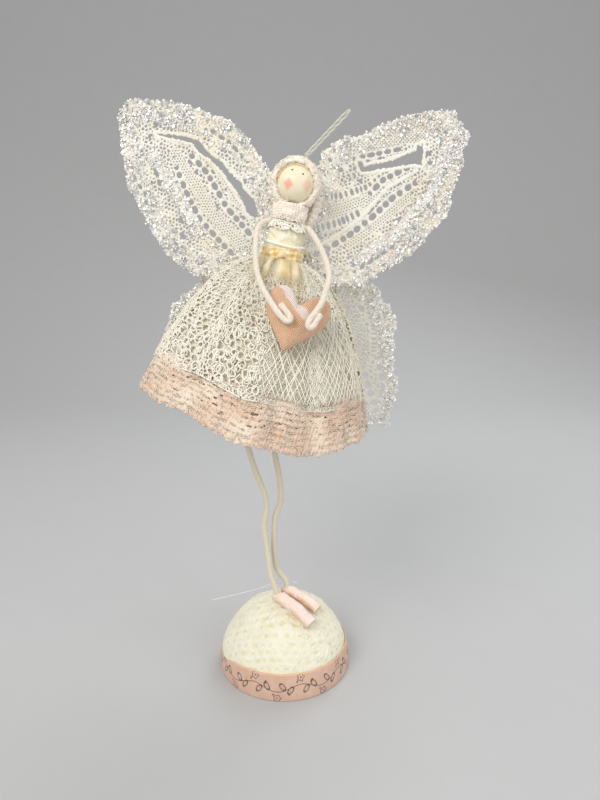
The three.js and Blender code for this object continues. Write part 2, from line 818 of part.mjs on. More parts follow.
const headBoreRadius = neckRadius + gap;
const boreAngle = Math.asin(headBoreRadius / headRadius);
const beadProfile = Array.from({ length: 11 }, (_, i) => {
  const angle = THREE.MathUtils.lerp(boreAngle, Math.PI - boreAngle, i / 10);
  return [headRadius * Math.sin(angle), -headRadius * Math.cos(angle)];
});
place('head_bead', turned([...beadProfile, beadProfile[0]], roundSides), 'wood', head);

const neckTop = headHeight + headRadius / 2;
place('neck_peg', turned([
  [0, neckBottom], [neckRadius, neckBottom], [neckRadius, neckTop], [0, neckTop],
], 10), 'wood', figure);

// Hair: a thin roll of flax round the face, down to the cheeks
const hairRing = Math.sqrt((headRadius + gap + hairRadius) ** 2 - hairForward ** 2);
const hairEndDegrees = -40;
const hairPath = new THREE.CatmullRomCurve3(Array.from({ length: 13 }, (_, i) => {
  const degrees = THREE.MathUtils.lerp(hairEndDegrees, 180 - hairEndDegrees, i / 12);
  const angle = THREE.MathUtils.degToRad(degrees);
  return new THREE.Vector3(hairRing * Math.cos(angle), -hairForward, hairRing * Math.sin(angle));
}));
place('hair', tube(hairPath, hairRadius, 6, 22), 'hair', head);

// Scarf: a ribbed knitted ring on the shoulders, below the chin
const scarfTop = torsoHeight + gap + scarfHeight - headHeight;
const scarfShares = [
  [0.25, 0], [0.72, 0.03], [1, 0.22], [0.95, 0.6], [0.72, 0.97], [0.25, 1], [0, 0.7], [0, 0.25],
];
const scarfRibs = 16;
const scarfLoops = scarfShares.map(([outShare, downShare]) => {
  const radius = scarfRadius - scarfThickness + scarfThickness * outShare;
  return circle(1, scarfRibs * 2).map((p, i) => {
    const ribbed = radius + (outShare > 0.5 && i % 2 ? -scarfRib : 0);
    return new THREE.Vector3(p.x * ribbed, p.y * ribbed, scarfTop - scarfHeight * downShare);
  });
});
place('scarf', loft(scarfLoops, true), 'hood', head);

// Hood: a knitted cap round the back of the head, open at the face and over the scarf
const hoodInner = hairRing + hairRadius + gap;
const hoodOuter = hoodInner + hoodThickness;
const hoodCapShares = [0.25, 0.5, 0.75, 1];
const hoodRim = hairForward;
const hoodProfile = [
  [hoodInner, -hoodRim], [hoodInner + hoodThickness * 0.7, -hoodRim], [hoodOuter, -hoodRim / 3],
  ...[0, ...hoodCapShares].map((share) => {
    const angle = (Math.PI / 2) * share;
    return [share === 1 ? 0 : hoodOuter * Math.cos(angle), hoodOuter * Math.sin(angle)];
  }),
  ...[...hoodCapShares].reverse().concat(0).map((share) => {
    const angle = (Math.PI / 2) * share;
    return [share === 1 ? 0 : hoodInner * Math.cos(angle), hoodInner * Math.sin(angle)];
  }),
  [hoodInner, -hoodRim],
];
const hoodShell = tidy(new THREE.LatheGeometry(
  hoodProfile.map(([r, y]) => new THREE.Vector2(r, y)), roundSides,
));
const hoodSolid = hoodShell.clone().scale(1, 1, hoodStretchShare);
const scarfClear = turned([
  [0, scarfTop - scarfHeight - hoodOuter], [scarfRadius + gap, scarfTop - scarfHeight - hoodOuter],
  [scarfRadius + gap, scarfTop + gap], [0, scarfTop + gap],
], roundSides);
place('hood', cut(hoodSolid, scarfClear), 'hood', head);

// Hanging loop: two strands side by side from a knot on the crown, bent together at the tip

const crown = hoodOuter * hoodStretchShare * Math.sqrt(1 - (loopX / hoodOuter) ** 2);
const loopPivot = new THREE.Vector3(loopX, 0, headHeight + crown + gap + loopKnotRadius);
const loop = new THREE.Group();
loop.position.copy(loopPivot);
loop.rotation.y = THREE.MathUtils.degToRad(loopTiltDegrees);
figure.add(loop);

const strandShares = [0, 0.3, 0.6, 0.9];
const strand = (side) => strandShares.map((share) => new THREE.Vector3(
  side * THREE.MathUtils.lerp(loopSpread / 2, loopTipBend, share), 0, share * loopLength,
));
const loopPath = new THREE.CatmullRomCurve3([
  ...strand(-1), new THREE.Vector3(0, 0, loopLength), ...strand(1).reverse(),
]);
const loopKnot = new THREE.SphereGeometry(loopKnotRadius, 10, 8);
loopKnot.scale((loopSpread / 2 + loopStrandRadius) / loopKnotRadius, 1, 1);
place('hanging_loop', join(tube(loopPath, loopStrandRadius, cordSides, 22), loopKnot), 'cord', loop);

// Wings: stiff flat lace, cut to shape, with the net's meshes and rows of eyelets as real holes.
// Outlines are shares of a wing's span outward and of its rise or drop upward.

const upperLeftShares = [
  [0.01, 0.20], [0.07, 0.24], [0.07, 0.51], [0.13, 0.60], [0.21, 0.72], [0.32, 0.84], [0.41, 0.88],
  [0.53, 0.93], [0.65, 0.965], [0.78, 0.99], [0.95, 1], [1, 0.92], [1, 0.83], [0.99, 0.67],
  [0.97, 0.48], [0.91, 0.34], [0.82, 0.15], [0.76, 0.05], [0.67, -0.05], [0.55, -0.12],
  [0.46, -0.13], [0.31, -0.09], [0.15, -0.05], [0.01, 0],
];
const upperLeftSlotShares = [
  [0.78, 0.79], [0.69, 0.78], [0.585, 0.76], [0.51, 0.735], [0.47, 0.675], [0.415, 0.625],
  [0.37, 0.595], [0.33, 0.535], [0.27, 0.48], [0.235, 0.415], [0.18, 0.35], [0.15, 0.245],
  [0.18, 0.25], [0.22, 0.27], [0.24, 0.325], [0.26, 0.36], [0.30, 0.43], [0.34, 0.485],
  [0.375, 0.545], [0.445, 0.615], [0.52, 0.67], [0.555, 0.725], [0.67, 0.755], [0.745, 0.775],
];
const upperLeftLeafShares = [[0.66, 0.64], [0.24, 0.19]];
const upperRightShares = [
  [0.01, 0.20], [0.08, 0.21], [0.15, 0.28], [0.16, 0.45], [0.18, 0.61], [0.20, 0.70],
  [0.245, 0.75], [0.33, 0.80], [0.415, 0.825], [0.51, 0.89], [0.65, 0.96], [0.79, 1], [0.90, 1],
  [0.95, 0.925], [1, 0.86], [0.97, 0.76], [0.97, 0.66], [0.94, 0.56], [0.915, 0.44],
  [0.905, 0.325], [0.83, 0.21], [0.765, 0.11], [0.69, 0.01], [0.585, -0.06], [0.49, -0.14],
  [0.43, -0.20], [0.25, -0.20], [0.11, -0.10], [0.01, 0],
];
const upperRightSlotShares = [
  [0.385, 0.65], [0.405, 0.65], [0.425, 0.615], [0.47, 0.635], [0.575, 0.665], [0.64, 0.70],
  [0.705, 0.735], [0.71, 0.765], [0.745, 0.79], [0.745, 0.735], [0.74, 0.64], [0.69, 0.645],
  [0.575, 0.62], [0.415, 0.58], [0.395, 0.595],
];
const upperRightLeafShares = [[0.68, 0.56], [0.22, 0.14]];
const lowerRightShares = [
  [0.01, 0.033], [0.13, 0.025], [0.26, -0.03], [0.43, -0.12], [0.66, -0.135], [0.78, -0.20],
  [0.84, -0.25], [0.895, -0.33], [0.91, -0.40], [0.91, -0.49], [0.93, -0.605], [0.97, -0.655],
  [1, -0.75], [0.92, -0.77], [0.99, -0.83], [0.96, -0.925], [0.95, -1], [0.855, -0.98],
  [0.76, -0.95], [0.66, -0.87], [0.53, -0.71], [0.37, -0.49], [0.18, -0.25], [0.01, -0.10],
];
const lowerRightLeafShares = [[0.78, -0.80], [0.30, -0.20]];
const lowerLeftShares = [
  [0.01, 0.05], [0.12, 0.045], [0.25, -0.05], [0.56, -0.14], [0.61, -0.15], [0.74, -0.25],
  [0.89, -0.40], [0.99, -0.575], [1, -0.66], [0.97, -0.82], [0.875, -0.975], [0.70, -1],
  [0.55, -0.82], [0.35, -0.55], [0.15, -0.275], [0.01, -0.125],
];
const lowerLeftLeafShares = [[0.82, -0.76], [0.28, -0.20]];

function scaled(shares, span, rise) {
  return shares.map(([x, z]) => new THREE.Vector2(x * span, z * rise));
}

function distanceToEdge(point, loopPoints) {
  let least = Infinity;
  loopPoints.forEach((a, i) => {
    const b = loopPoints[(i + 1) % loopPoints.length];
    const run = b.clone().sub(a);
    const share = THREE.MathUtils.clamp(point.clone().sub(a).dot(run) / run.lengthSq(), 0, 1);
    least = Math.min(least, point.distanceTo(a.clone().addScaledVector(run, share)));
  });
  return least;
}

function isInside(point, loopPoints) {
  let inside = false;
  loopPoints.forEach((a, i) => {
    const b = loopPoints[(i + 1) % loopPoints.length];
    if (a.y > point.y !== b.y > point.y) {
      const crossing = a.x + ((point.y - a.y) * (b.x - a.x)) / (b.y - a.y);
      if (point.x < crossing) inside = !inside;
    }
  });
  return inside;
}

function ovalHole(centre, long, short, angle) {
  const along = new THREE.Vector2(Math.cos(angle), Math.sin(angle));
  const across = new THREE.Vector2(-along.y, along.x);
  return circle(1, 6).map((p) => (
    centre.clone().addScaledVector(along, p.x * long).addScaledVector(across, p.y * short)
  ));
}

// Eyelets stand in a row on both sides of the woven leaf, and hexagonal meshes fill the rest
function laceHoles(outline, slot, leaf) {
  const [tip, root] = leaf;
  const leafRun = tip.clone().sub(root);
  const along = leafRun.clone().normalize();
  const across = new THREE.Vector2(-along.y, along.x);
  const angle = Math.atan2(along.y, along.x) + Math.PI / 3;
  const fits = (point, reach) => isInside(point, outline)
    && distanceToEdge(point, outline) > reach + laceSelvage
    && (!slot || (!isInside(point, slot) && distanceToEdge(point, slot) > reach + laceSelvage));
  const holesMade = [];
  const eyeletOffset = leafWidth / 2 + laceSelvage;
  const eyelets = Math.floor(leafRun.length() / eyeletPitch);
  for (let i = 0; i <= eyelets; i++) {
    for (const side of [-1, 1]) {
      const centre = root.clone().addScaledVector(along, i * eyeletPitch)
        .addScaledVector(across, side * eyeletOffset);
      if (fits(centre, eyeletLong)) holesMade.push(ovalHole(centre, eyeletLong, eyeletShort, angle));
    }
  }
  const keepOff = eyeletOffset + eyeletLong + laceSelvage / 2 + meshHole;
  const reach = Math.max(...outline.map((p) => p.length()));
  const rows = Math.ceil(reach / meshPitch) + 1;
  const rowStep = meshPitch * Math.sin(Math.PI / 3);
  for (let row = -2 * rows; row <= 2 * rows; row++) {
    for (let column = -rows; column <= rows; column++) {
      const strayX = netStrayShare * Math.sin(5 * row + 3 * column);
      const strayY = netStrayShare * Math.cos(7 * row + 2 * column);
      const centre = new THREE.Vector2(
        (column + (row % 2 ? 0.5 : 0) + strayX) * meshPitch, row * rowStep + strayY * meshPitch,
      );
      const offLeaf = distanceToEdge(centre, [root, tip]) > keepOff;
      if (offLeaf && fits(centre, meshHole)) {
        holesMade.push(ovalHole(centre, meshHole, meshHole, row + column));
      }
    }
  }
  return holesMade;
}

const wings = new THREE.Group();
wings.position.set(wingRootX, torsoDepth / 2 + sashOuter + gap, wingRootHeight);
angel.add(wings);

function wing(name, side, outlineShares, slotShares, leafShares, span, rise, slope, set) {
  const outline = scaled(outlineShares, span, rise);
  const slot = slotShares && scaled(slotShares, span, rise);
  if (slot && THREE.ShapeUtils.isClockWise(slot)) slot.reverse();
  const shape = new THREE.Shape(outline);
  if (slot) shape.holes.push(new THREE.Path(slot));
  for (const hole of laceHoles(outline, slot, scaled(leafShares, span, rise))) {
    shape.holes.push(new THREE.Path(hole));
  }
  const flat = new THREE.ExtrudeGeometry(shape, { depth: laceThickness, bevelEnabled: false });
  const position = flat.attributes.position;
  for (let i = 0; i < position.count; i++) {
    const [out, up, through] = [position.getX(i), position.getY(i), position.getZ(i)];
    position.setXYZ(i, side * out, set + through + wingSweepShare * out - slope * up, up);
  }
  place(name, tidy(flat), 'lace', wings);
}

wing('wing_upper_left', -1, upperLeftShares, upperLeftSlotShares, upperLeftLeafShares,
  leftWingSpan, leftWingRise, 0, 0);
wing('wing_upper_right', 1, upperRightShares, upperRightSlotShares, upperRightLeafShares,
  rightWingSpan, rightWingRise, 0, 0);

// The lower pair hangs behind the upper pair from its top edge and slopes clear of the skirt
const lowerSet = laceThickness + gap + lowerWingSlopeShare * wingTuck;
wing('wing_lower_left', -1, lowerLeftShares, null, lowerLeftLeafShares,
  lowerLeftSpan, lowerLeftDrop, lowerWingSlopeShare, lowerSet);
wing('wing_lower_right', 1, lowerRightShares, null, lowerRightLeafShares,
  lowerRightSpan, lowerRightDrop, lowerWingSlopeShare, lowerSet);

export default angel;
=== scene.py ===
"""A lace angel: wire-legged cloth doll, lace wings, net skirt, padded heart, lace-covered base.

Sizes are in millimetres until a mesh is made. The base stands on z = 0 and the angel faces -Y.
"""

import math

import bpy
import numpy as np
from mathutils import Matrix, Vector


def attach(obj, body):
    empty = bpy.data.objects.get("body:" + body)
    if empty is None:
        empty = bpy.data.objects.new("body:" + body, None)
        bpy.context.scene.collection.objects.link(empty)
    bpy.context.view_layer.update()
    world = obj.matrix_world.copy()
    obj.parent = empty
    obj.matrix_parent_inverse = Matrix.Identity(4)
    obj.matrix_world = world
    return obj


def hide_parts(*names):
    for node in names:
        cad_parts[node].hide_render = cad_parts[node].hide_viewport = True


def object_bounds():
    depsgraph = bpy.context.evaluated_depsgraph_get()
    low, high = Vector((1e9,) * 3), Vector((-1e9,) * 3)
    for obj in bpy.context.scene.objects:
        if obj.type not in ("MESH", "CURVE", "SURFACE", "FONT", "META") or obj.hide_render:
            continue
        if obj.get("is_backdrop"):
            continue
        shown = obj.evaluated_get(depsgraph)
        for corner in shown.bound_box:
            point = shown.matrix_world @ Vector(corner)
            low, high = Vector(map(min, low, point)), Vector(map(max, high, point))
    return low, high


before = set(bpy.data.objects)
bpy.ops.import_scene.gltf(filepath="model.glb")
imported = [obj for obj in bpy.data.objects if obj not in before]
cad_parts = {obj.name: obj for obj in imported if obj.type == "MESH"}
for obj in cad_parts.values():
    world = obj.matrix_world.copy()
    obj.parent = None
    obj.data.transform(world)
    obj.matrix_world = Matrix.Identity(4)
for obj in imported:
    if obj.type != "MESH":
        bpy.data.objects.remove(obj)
cad_box = [list(corner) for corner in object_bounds()]

MM = 0.001
TURN = 2 * math.pi

# ---- Sizes, as in the part's source ----

LEAN = math.radians(11.3)
WAIST = np.array([-0.9, 0.0, 247.0])
BALL_CENTRE = 2.8
COVER_RADIUS = 39.6
RIBBON_INNER = 39.9
RIBBON_HEIGHT = 16.0
HEAD_HEIGHT = 41.0
HEAD_RADIUS = 11.0
SCARF_TOP = -10.2
TORSO_HALF = (9.4, 6.2)
SKIRT_DROP = 85.3
SKIRT_HALF = 66.5
SKIRT_FRONT = 64.0
SKIRT_BACK = 50.0
SKIRT_SAG = 3.0
SKIRT_WAIST = (9.7, 6.5)
HEM_LIFT = 11.0
HEM_LIFTS = (0, 0.15, 0.15, 0.1, 0.1, 0.1, 0.15, 0.95, 0.85, 0.2, -0.15, 0.3)
FOLD = 2.2
WING_ROOT = np.array([1.0, 8.8, 250.0])
WING_SWEEP = 0.21
LOWER_SLOPE = 0.5
LOWER_SET = 3.1


# ---- Frames ----


def from_figure(points):
    """Points of the leaning doll's own frame, in the shared frame."""
    p = np.asarray(points, float)
    x, y, z = p[..., 0], p[..., 1], p[..., 2]
    leaned = np.stack(
        [x * math.cos(LEAN) + z * math.sin(LEAN), y, z * math.cos(LEAN) - x * math.sin(LEAN)],
        -1,
    )
    return leaned + WAIST


def from_head(points):
    return from_figure(np.asarray(points, float) + (0, 0, HEAD_HEIGHT))


# ---- Finishes ----


def paint(red, green, blue):
    """The linear colour of a colour as it looks on a screen."""
    return tuple(
        c / 12.92 if c <= 0.04045 else ((c + 0.055) / 1.055) ** 2.4
        for c in (red, green, blue)
    ) + (1.0,)


class Term:
    """A value in a shader. Arithmetic on it adds Math nodes."""

    def __init__(self, finish, socket):
        self.finish = finish
        self.socket = socket

    def math(self, operation, *values):
        return self.finish.node("ShaderNodeMath", {"operation": operation}, values)

    def __add__(self, other):
        return self.math("ADD", self, other)

    def __radd__(self, other):
        return self.math("ADD", other, self)

    def __sub__(self, other):
        return self.math("SUBTRACT", self, other)

    def __rsub__(self, other):
        return self.math("SUBTRACT", other, self)

    def __mul__(self, other):
        return self.math("MULTIPLY", self, other)

    def __rmul__(self, other):
        return self.math("MULTIPLY", other, self)

    def __truediv__(self, other):
        return self.math("DIVIDE", self, other)

    def clamped(self):
        return self.finish.node("ShaderNodeClamp", None, {"Value": self, "Min": 0.0, "Max": 1.0})

    def step(self, low, high):
        """0 at low and 1 at high, smooth between."""
        return self.finish.node(
            "ShaderNodeMapRange",
            {"interpolation_type": "SMOOTHSTEP"},
            {"Value": self, "From Min": low, "From Max": high},
        )


class Finish:
    """One material: a Principled shader and the nodes that feed it."""

    def __init__(self, name, colour, roughness, **sockets):
        self.material = bpy.data.materials.new(name)
        self.material.use_nodes = True
        self.tree = self.material.node_tree
        self.shader = self.tree.nodes["Principled BSDF"]
        self.set(base_color=colour, roughness=roughness, **sockets)
        self.place = self.node("ShaderNodeTexCoord", None, {}, "Object")

    def node(self, kind, settings=None, values=(), output=0):
        made = self.tree.nodes.new(kind)
        for key, value in (settings or {}).items():
            setattr(made, key, value)
        pairs = values.items() if isinstance(values, dict) else enumerate(values)
        for key, value in pairs:
            if isinstance(value, Term):
                self.tree.links.new(value.socket, made.inputs[key])
            else:
                made.inputs[key].default_value = value
        return Term(self, made.outputs[output])

    def set(self, **sockets):
        for key, value in sockets.items():
            name = " ".join(word.capitalize() for word in key.split("_"))
            if isinstance(value, Term):
                self.tree.links.new(value.socket, self.shader.inputs[name])
            else:
                self.shader.inputs[name].default_value = value

    def attribute(self, name):
        return self.node("ShaderNodeAttribute", {"attribute_name": name}, {}, "Fac")

    def mix(self, factor, first, second):
        values = {0: factor, 6: first, 7: second}
        return self.node("ShaderNodeMix", {"data_type": "RGBA"}, values, 2)

    def noise(self, size, detail=3.0, roughness=0.6, vector=None):
        """Cloudy noise with spots about size millimetres wide."""
        values = {
            "Vector": vector or self.place,
            "Scale": 1 / (size * MM),
            "Detail": detail,
            "Roughness": roughness,
        }
        return self.node("ShaderNodeTexNoise", None, values)

    def bump(self, height, depth):
        """Relief of height 0 to 1 over depth millimetres, on the shader's normal."""
        values = {"Height": height, "Distance": depth * MM, "Strength": 1.0}
        self.set(normal=self.node("ShaderNodeBump", None, values))


def yarn(name, light, dark, relief, tint=None, roughness=0.92):
    """Matt cotton whose fibres run to a darker colour, a painted shade, in the hollows that
    'shade' marks.
    """
    light, dark = paint(*light), paint(*dark)
    finish = Finish(name, light, roughness, sheen_weight=0.25, sheen_roughness=0.5)
    fibre = finish.noise(0.35, 4.0)
    cloud = finish.noise(9.0, 2.0)
    # painted shade: where 'shade' is low the yarn takes the darker colour
    height = finish.attribute("shade")
    lit = (height * 0.75 + fibre * 0.45 + cloud * 0.3 - 0.25).clamped()
    colour = finish.mix(lit, dark, light)
    if tint:
        colour = finish.mix(finish.attribute("tint"), colour, paint(*tint))
    finish.set(base_color=colour)
    finish.bump(fibre, relief)
    return finish.material


def satin(name, light, deep, sheen_colour, crease=1.6, tint=None, sheer=False):
    """Woven satin with a soft gloss: painted shade drifts between two depths of colour along the
    creases, with patches of painted sheen over it.
    """
    light, deep = paint(*light), paint(*deep)
    finish = Finish(name, light, 0.42, sheen_weight=0.3, sheen_roughness=0.35)
    stretch = finish.node(
        "ShaderNodeMapping",
        {"vector_type": "POINT"},
        {"Vector": finish.place, "Scale": (1.0, 1.0, 3.0)},
    )
    folds = finish.noise(crease, 3.0, 0.5, stretch)
    patches = finish.noise(6.0, 2.0)
    # painted shade: the colour drifts to the deep colour along the creases of the noise
    colour = finish.mix((folds * 1.5 - 0.3).clamped(), deep, light)
    if tint:
        colour = finish.mix(finish.attribute("tint"), colour, paint(*tint))
    if sheer:
        finish.set(alpha=finish.attribute("ink"))
    # painted sheen: patches of the sheen colour mixed into the base colour
    painted_sheen = patches.step(0.50, 0.66)
    finish.set(base_color=finish.mix(painted_sheen * 0.6, colour, paint(*sheen_colour)))
    thread = finish.noise(0.3, 2.0)
    finish.set(roughness=thread * 0.25 + 0.34)
    finish.bump(folds * 0.8 + thread * 0.2, 0.25)
    return finish.material


def make_heart_cloth():
    """Copper and peach twill with silvery, glossier patches; along the front streak they are a
    painted highlight.
    """
    finish = Finish("copper twill", paint(0.84, 0.68, 0.57), 0.5, sheen_weight=0.2)
    turned = finish.node(
        "ShaderNodeMapping",
        {"vector_type": "POINT"},
        {"Vector": finish.place, "Rotation": (0.0, math.radians(38), 0.0)},
    )
    wave = {"wave_type": "BANDS", "bands_direction": "X", "wave_profile": "SIN"}
    values = {"Vector": turned, "Scale": 0.42 / MM, "Distortion": 2.4, "Detail Scale": 2.0}
    twill = finish.node("ShaderNodeTexWave", wave, values, "Fac")
    across = finish.node(
        "ShaderNodeTexWave",
        {**wave, "bands_direction": "Z"},
        {**values, "Scale": 0.33 / MM},
        "Fac",
    )
    weave = (twill * 0.6 + across * 0.4).clamped()
    cloud = finish.noise(5.0)
    deep = finish.mix(cloud, paint(0.70, 0.47, 0.35), paint(0.84, 0.64, 0.48))
    cloth = finish.mix(weave.step(0.25, 0.75), deep, paint(0.94, 0.80, 0.67))
    # silvery patches: noise spots, and a painted highlight along the streak that 'tint' marks
    sheen_patch = (finish.noise(4.0, 4.0, 0.7) * 0.5 + finish.attribute("tint") * 0.5).step(0.42, 0.56)
    silver = finish.mix(weave.step(0.2, 0.8), paint(0.84, 0.77, 0.73), paint(0.98, 0.96, 0.95))
    finish.set(base_color=finish.mix(sheen_patch * 0.85, cloth, silver))
    finish.set(roughness=0.62 - sheen_patch * 0.22)
    finish.bump(weave, 0.3)
    return finish.material


def make_head_wood():
    """Pale varnished bead with painted eyes and two rosy cheeks."""
    finish = Finish("painted bead", paint(0.88, 0.83, 0.66), 0.42, coat_weight=0.12)
    centre = from_figure((0, 0, HEAD_HEIGHT)) * MM
    local = finish.node(
        "ShaderNodeMapping",
        {"vector_type": "TEXTURE"},
        {"Vector": finish.place, "Location": tuple(centre), "Rotation": (0.0, LEAN, 0.0)},
    )

    def offset_from(point):
        return finish.node(
            "ShaderNodeVectorMath",
            {"operation": "SUBTRACT"},
            {0: local, 1: tuple(np.array(point) * MM)},
        )

    def near(point, inner, outer):
        """1 within the inner distance of a point of the head, 0 past the outer one."""
        length = finish.node(
            "ShaderNodeVectorMath", {"operation": "LENGTH"}, {0: offset_from(point)}, "Value"
        )
        return 1 - length.step(inner * MM, outer * MM)

    def diamond(point, inner, outer, wide, tall):
        """The same with straight slanting sides, as a brush dabs it."""
        size = finish.node(
            "ShaderNodeVectorMath", {"operation": "ABSOLUTE"}, {0: offset_from(point)}
        )
        reach = finish.node(
            "ShaderNodeVectorMath",
            {"operation": "DOT_PRODUCT"},
            {0: size, 1: (wide, 0.2, tall)},
            "Value",
        )
        return 1 - reach.step(inner * MM, outer * MM)

    grain = finish.noise(2.5, 4.0, 0.6)
    skin = finish.mix(grain, paint(0.90, 0.86, 0.72), paint(0.97, 0.94, 0.85))
    brush = finish.noise(0.8) * 0.6 + 0.62
    left = (diamond((-3.5, -10.35, -1.3), 1.3, 4.0, 1.0, 0.8) * brush).clamped()
    skin = finish.mix(left * 0.85, skin, paint(0.95, 0.62, 0.53))
    right = (diamond((6.5, -8.8, -0.2), 0.6, 5.0, 1.1, 0.7) * brush * 0.62).clamped()
    skin = finish.mix(right, skin, paint(0.95, 0.64, 0.54))
    for eye in ((-2.8, -8.75, 5.95), (3.15, -9.3, 4.85)):
        skin = finish.mix(near(eye, 0.38, 0.68), skin, paint(0.22, 0.24, 0.20))
    finish.set(base_color=skin)
    finish.bump(grain, 0.06)
    return finish.material


def make_ribbon_cloth():
    """Dusty peach grosgrain, printed in dark brown where 'ink' says."""
    finish = Finish("printed ribbon", paint(0.84, 0.68, 0.59), 0.65, sheen_weight=0.15)
    ribs = finish.node(
        "ShaderNodeTexWave",
        {"wave_type": "BANDS", "bands_direction": "Z"},
        {"Vector": finish.place, "Scale": 0.45 / MM},
        "Fac",
    )
    cloud = finish.noise(7.0)
    base = finish.mix(cloud, paint(0.79, 0.63, 0.54), paint(0.89, 0.76, 0.68))
    edge = finish.mix(finish.attribute("tint"), base, paint(0.94, 0.76, 0.62))
    wear = finish.noise(0.6).step(0.3, 0.55)
    ink = (finish.attribute("ink") * (wear * 0.25 + 0.75)).clamped()
    finish.set(base_color=finish.mix(ink, edge, paint(0.20, 0.15, 0.17)))
    finish.bump(ribs * 0.6 + finish.noise(0.3, 2.0) * 0.4, 0.08)
    return finish.material


def make_flake_finish():
    """Sugar-white flakes, some clear and greyer, each with its own cast."""
    finish = Finish("silver flakes", paint(0.95, 0.95, 0.94), 0.22, metallic=0.2)
    cast = finish.attribute("shade")
    ramp = finish.mix(cast.step(0.10, 0.42), paint(0.72, 0.74, 0.77), paint(0.985, 0.98, 0.965))
    finish.set(base_color=finish.mix(finish.attribute("tint"), ramp, paint(0.96, 0.88, 0.82)))
    finish.bump(finish.noise(0.4, 2.0), 0.05)
    return finish.material


def make_steel():
    finish = Finish("bright wire", paint(0.72, 0.74, 0.76), 0.3, metallic=1.0)
    drawn = finish.noise(0.5)
    finish.set(roughness=drawn * 0.2 + 0.2)
    finish.bump(drawn, 0.02)
    return finish.material


def make_foam():
    finish = Finish("moulded foam", paint(0.95, 0.94, 0.91), 0.85)
    beads = finish.node(
        "ShaderNodeTexVoronoi",
        {"feature": "DISTANCE_TO_EDGE"},
        {"Vector": finish.place, "Scale": 0.45 / MM},
        "Distance",
    )
    # painted shade: darker in the dents between the beads
    dent_shade, bead = paint(0.82, 0.80, 0.76), paint(0.96, 0.95, 0.92)
    finish.set(base_color=finish.mix(beads.step(0.0, 0.12), dent_shade, bead))
    finish.bump(beads.step(0.0, 0.2), 0.25)
    return finish.material


def make_thread():
    finish = Finish("stiff thread", paint(0.88, 0.87, 0.90), 0.45, sheen_weight=0.2)
    twist = finish.noise(0.4, 2.0)
    finish.set(base_color=finish.mix(twist, paint(0.74, 0.72, 0.76), paint(0.97, 0.96, 0.98)))
    finish.bump(twist, 0.05)
    return finish.material


# Each yarn: its material name, its colour, the darker colour of its painted shade, its bump depth,
# its tint colour and, for one, its roughness.
YARNS = {
    "lace": ("stiffened lace", (0.98, 0.97, 0.93), (0.86, 0.84, 0.78), 0.15, (0.93, 0.89, 0.79)),
    "net": ("cream net yarn", (0.985, 0.97, 0.92), (0.95, 0.925, 0.85), 0.14, (0.97, 0.925, 0.80)),
    "lining": ("beige lining", (0.98, 0.96, 0.90), (0.83, 0.77, 0.66), 0.08, (0.87, 0.76, 0.67)),
    "border": ("peach crochet", (0.91, 0.80, 0.71), (0.77, 0.64, 0.55), 0.16, (0.94, 0.89, 0.82)),
    "cover": ("cream lace knit", (0.95, 0.94, 0.87), (0.90, 0.88, 0.76), 0.2, (0.88, 0.86, 0.68)),
    "hood": ("pale pink knit", (0.99, 0.96, 0.92), (0.96, 0.91, 0.85), 0.12, (0.96, 0.91, 0.83)),
    "cord": ("off-white cord", (0.95, 0.92, 0.87), (0.82, 0.75, 0.68), 0.07, (0.85, 0.82, 0.73)),
    "loop": ("waxed cord", (0.86, 0.86, 0.80), (0.62, 0.62, 0.56), 0.05, None, 0.6),
    "felt": ("rolled felt", (0.89, 0.86, 0.78), (0.74, 0.70, 0.6), 0.1),
    "hair": ("flax hair", (0.94, 0.86, 0.64), (0.76, 0.62, 0.38), 0.05),
    "frill": ("white frill", (0.99, 0.98, 0.94), (0.93, 0.90, 0.83), 0.1),
}
FINISH = {key: yarn(*facts) for key, facts in YARNS.items()}
FINISH.update({
    "veil": satin(
        "sheer organza", (0.97, 0.90, 0.70), (0.93, 0.81, 0.54), (0.98, 0.94, 0.82),
        tint=(0.97, 0.94, 0.84), sheer=True,
    ),
    "bodice": satin("cream satin", (0.95, 0.93, 0.84), (0.89, 0.86, 0.72), (0.97, 0.96, 0.92)),
    "sash": satin(
        "amber organza", (0.94, 0.80, 0.52), (0.87, 0.69, 0.38), (0.97, 0.91, 0.74),
        tint=(0.96, 0.91, 0.77),
    ),
    # the slipper's tint colour is the pale colour of the painted sheen on its top
    "shoe": satin(
        "peach satin", (0.95, 0.85, 0.77), (0.87, 0.69, 0.53), (0.98, 0.94, 0.93), 2.4,
        (0.98, 0.94, 0.92),
    ),
    "heart": make_heart_cloth(), "head": make_head_wood(), "ribbon": make_ribbon_cloth(),
    "flakes": make_flake_finish(), "steel": make_steel(), "foam": make_foam(),
    "thread": make_thread(),
})


# ---- Mesh making ----

TABLE = 97  # places each way in a table of noise
TILES = 64  # places each way in a table of chances
RING = 8  # stations of a ring of yarn


def eased(share):
    """A share from 0 to 1 that starts and ends gently."""
    return share * share * (3 - 2 * share)


def lattice(*axes):
    return np.meshgrid(*axes, indexing="ij")


def angles(count):
    """Angles evenly round one turn."""
    return np.arange(count) * TURN / count


def unit(vectors):
    return vectors / np.maximum(np.linalg.norm(vectors, axis=-1, keepdims=True), 1e-9)


def run_along(route):
    """How far along a line of points each one lies."""
    return np.concatenate([[0], np.cumsum(np.linalg.norm(np.diff(route, axis=0), axis=1))])


def make_active(piece):
    bpy.ops.object.select_all(action="DESELECT")
    piece.select_set(True)
    bpy.context.view_layer.objects.active = piece


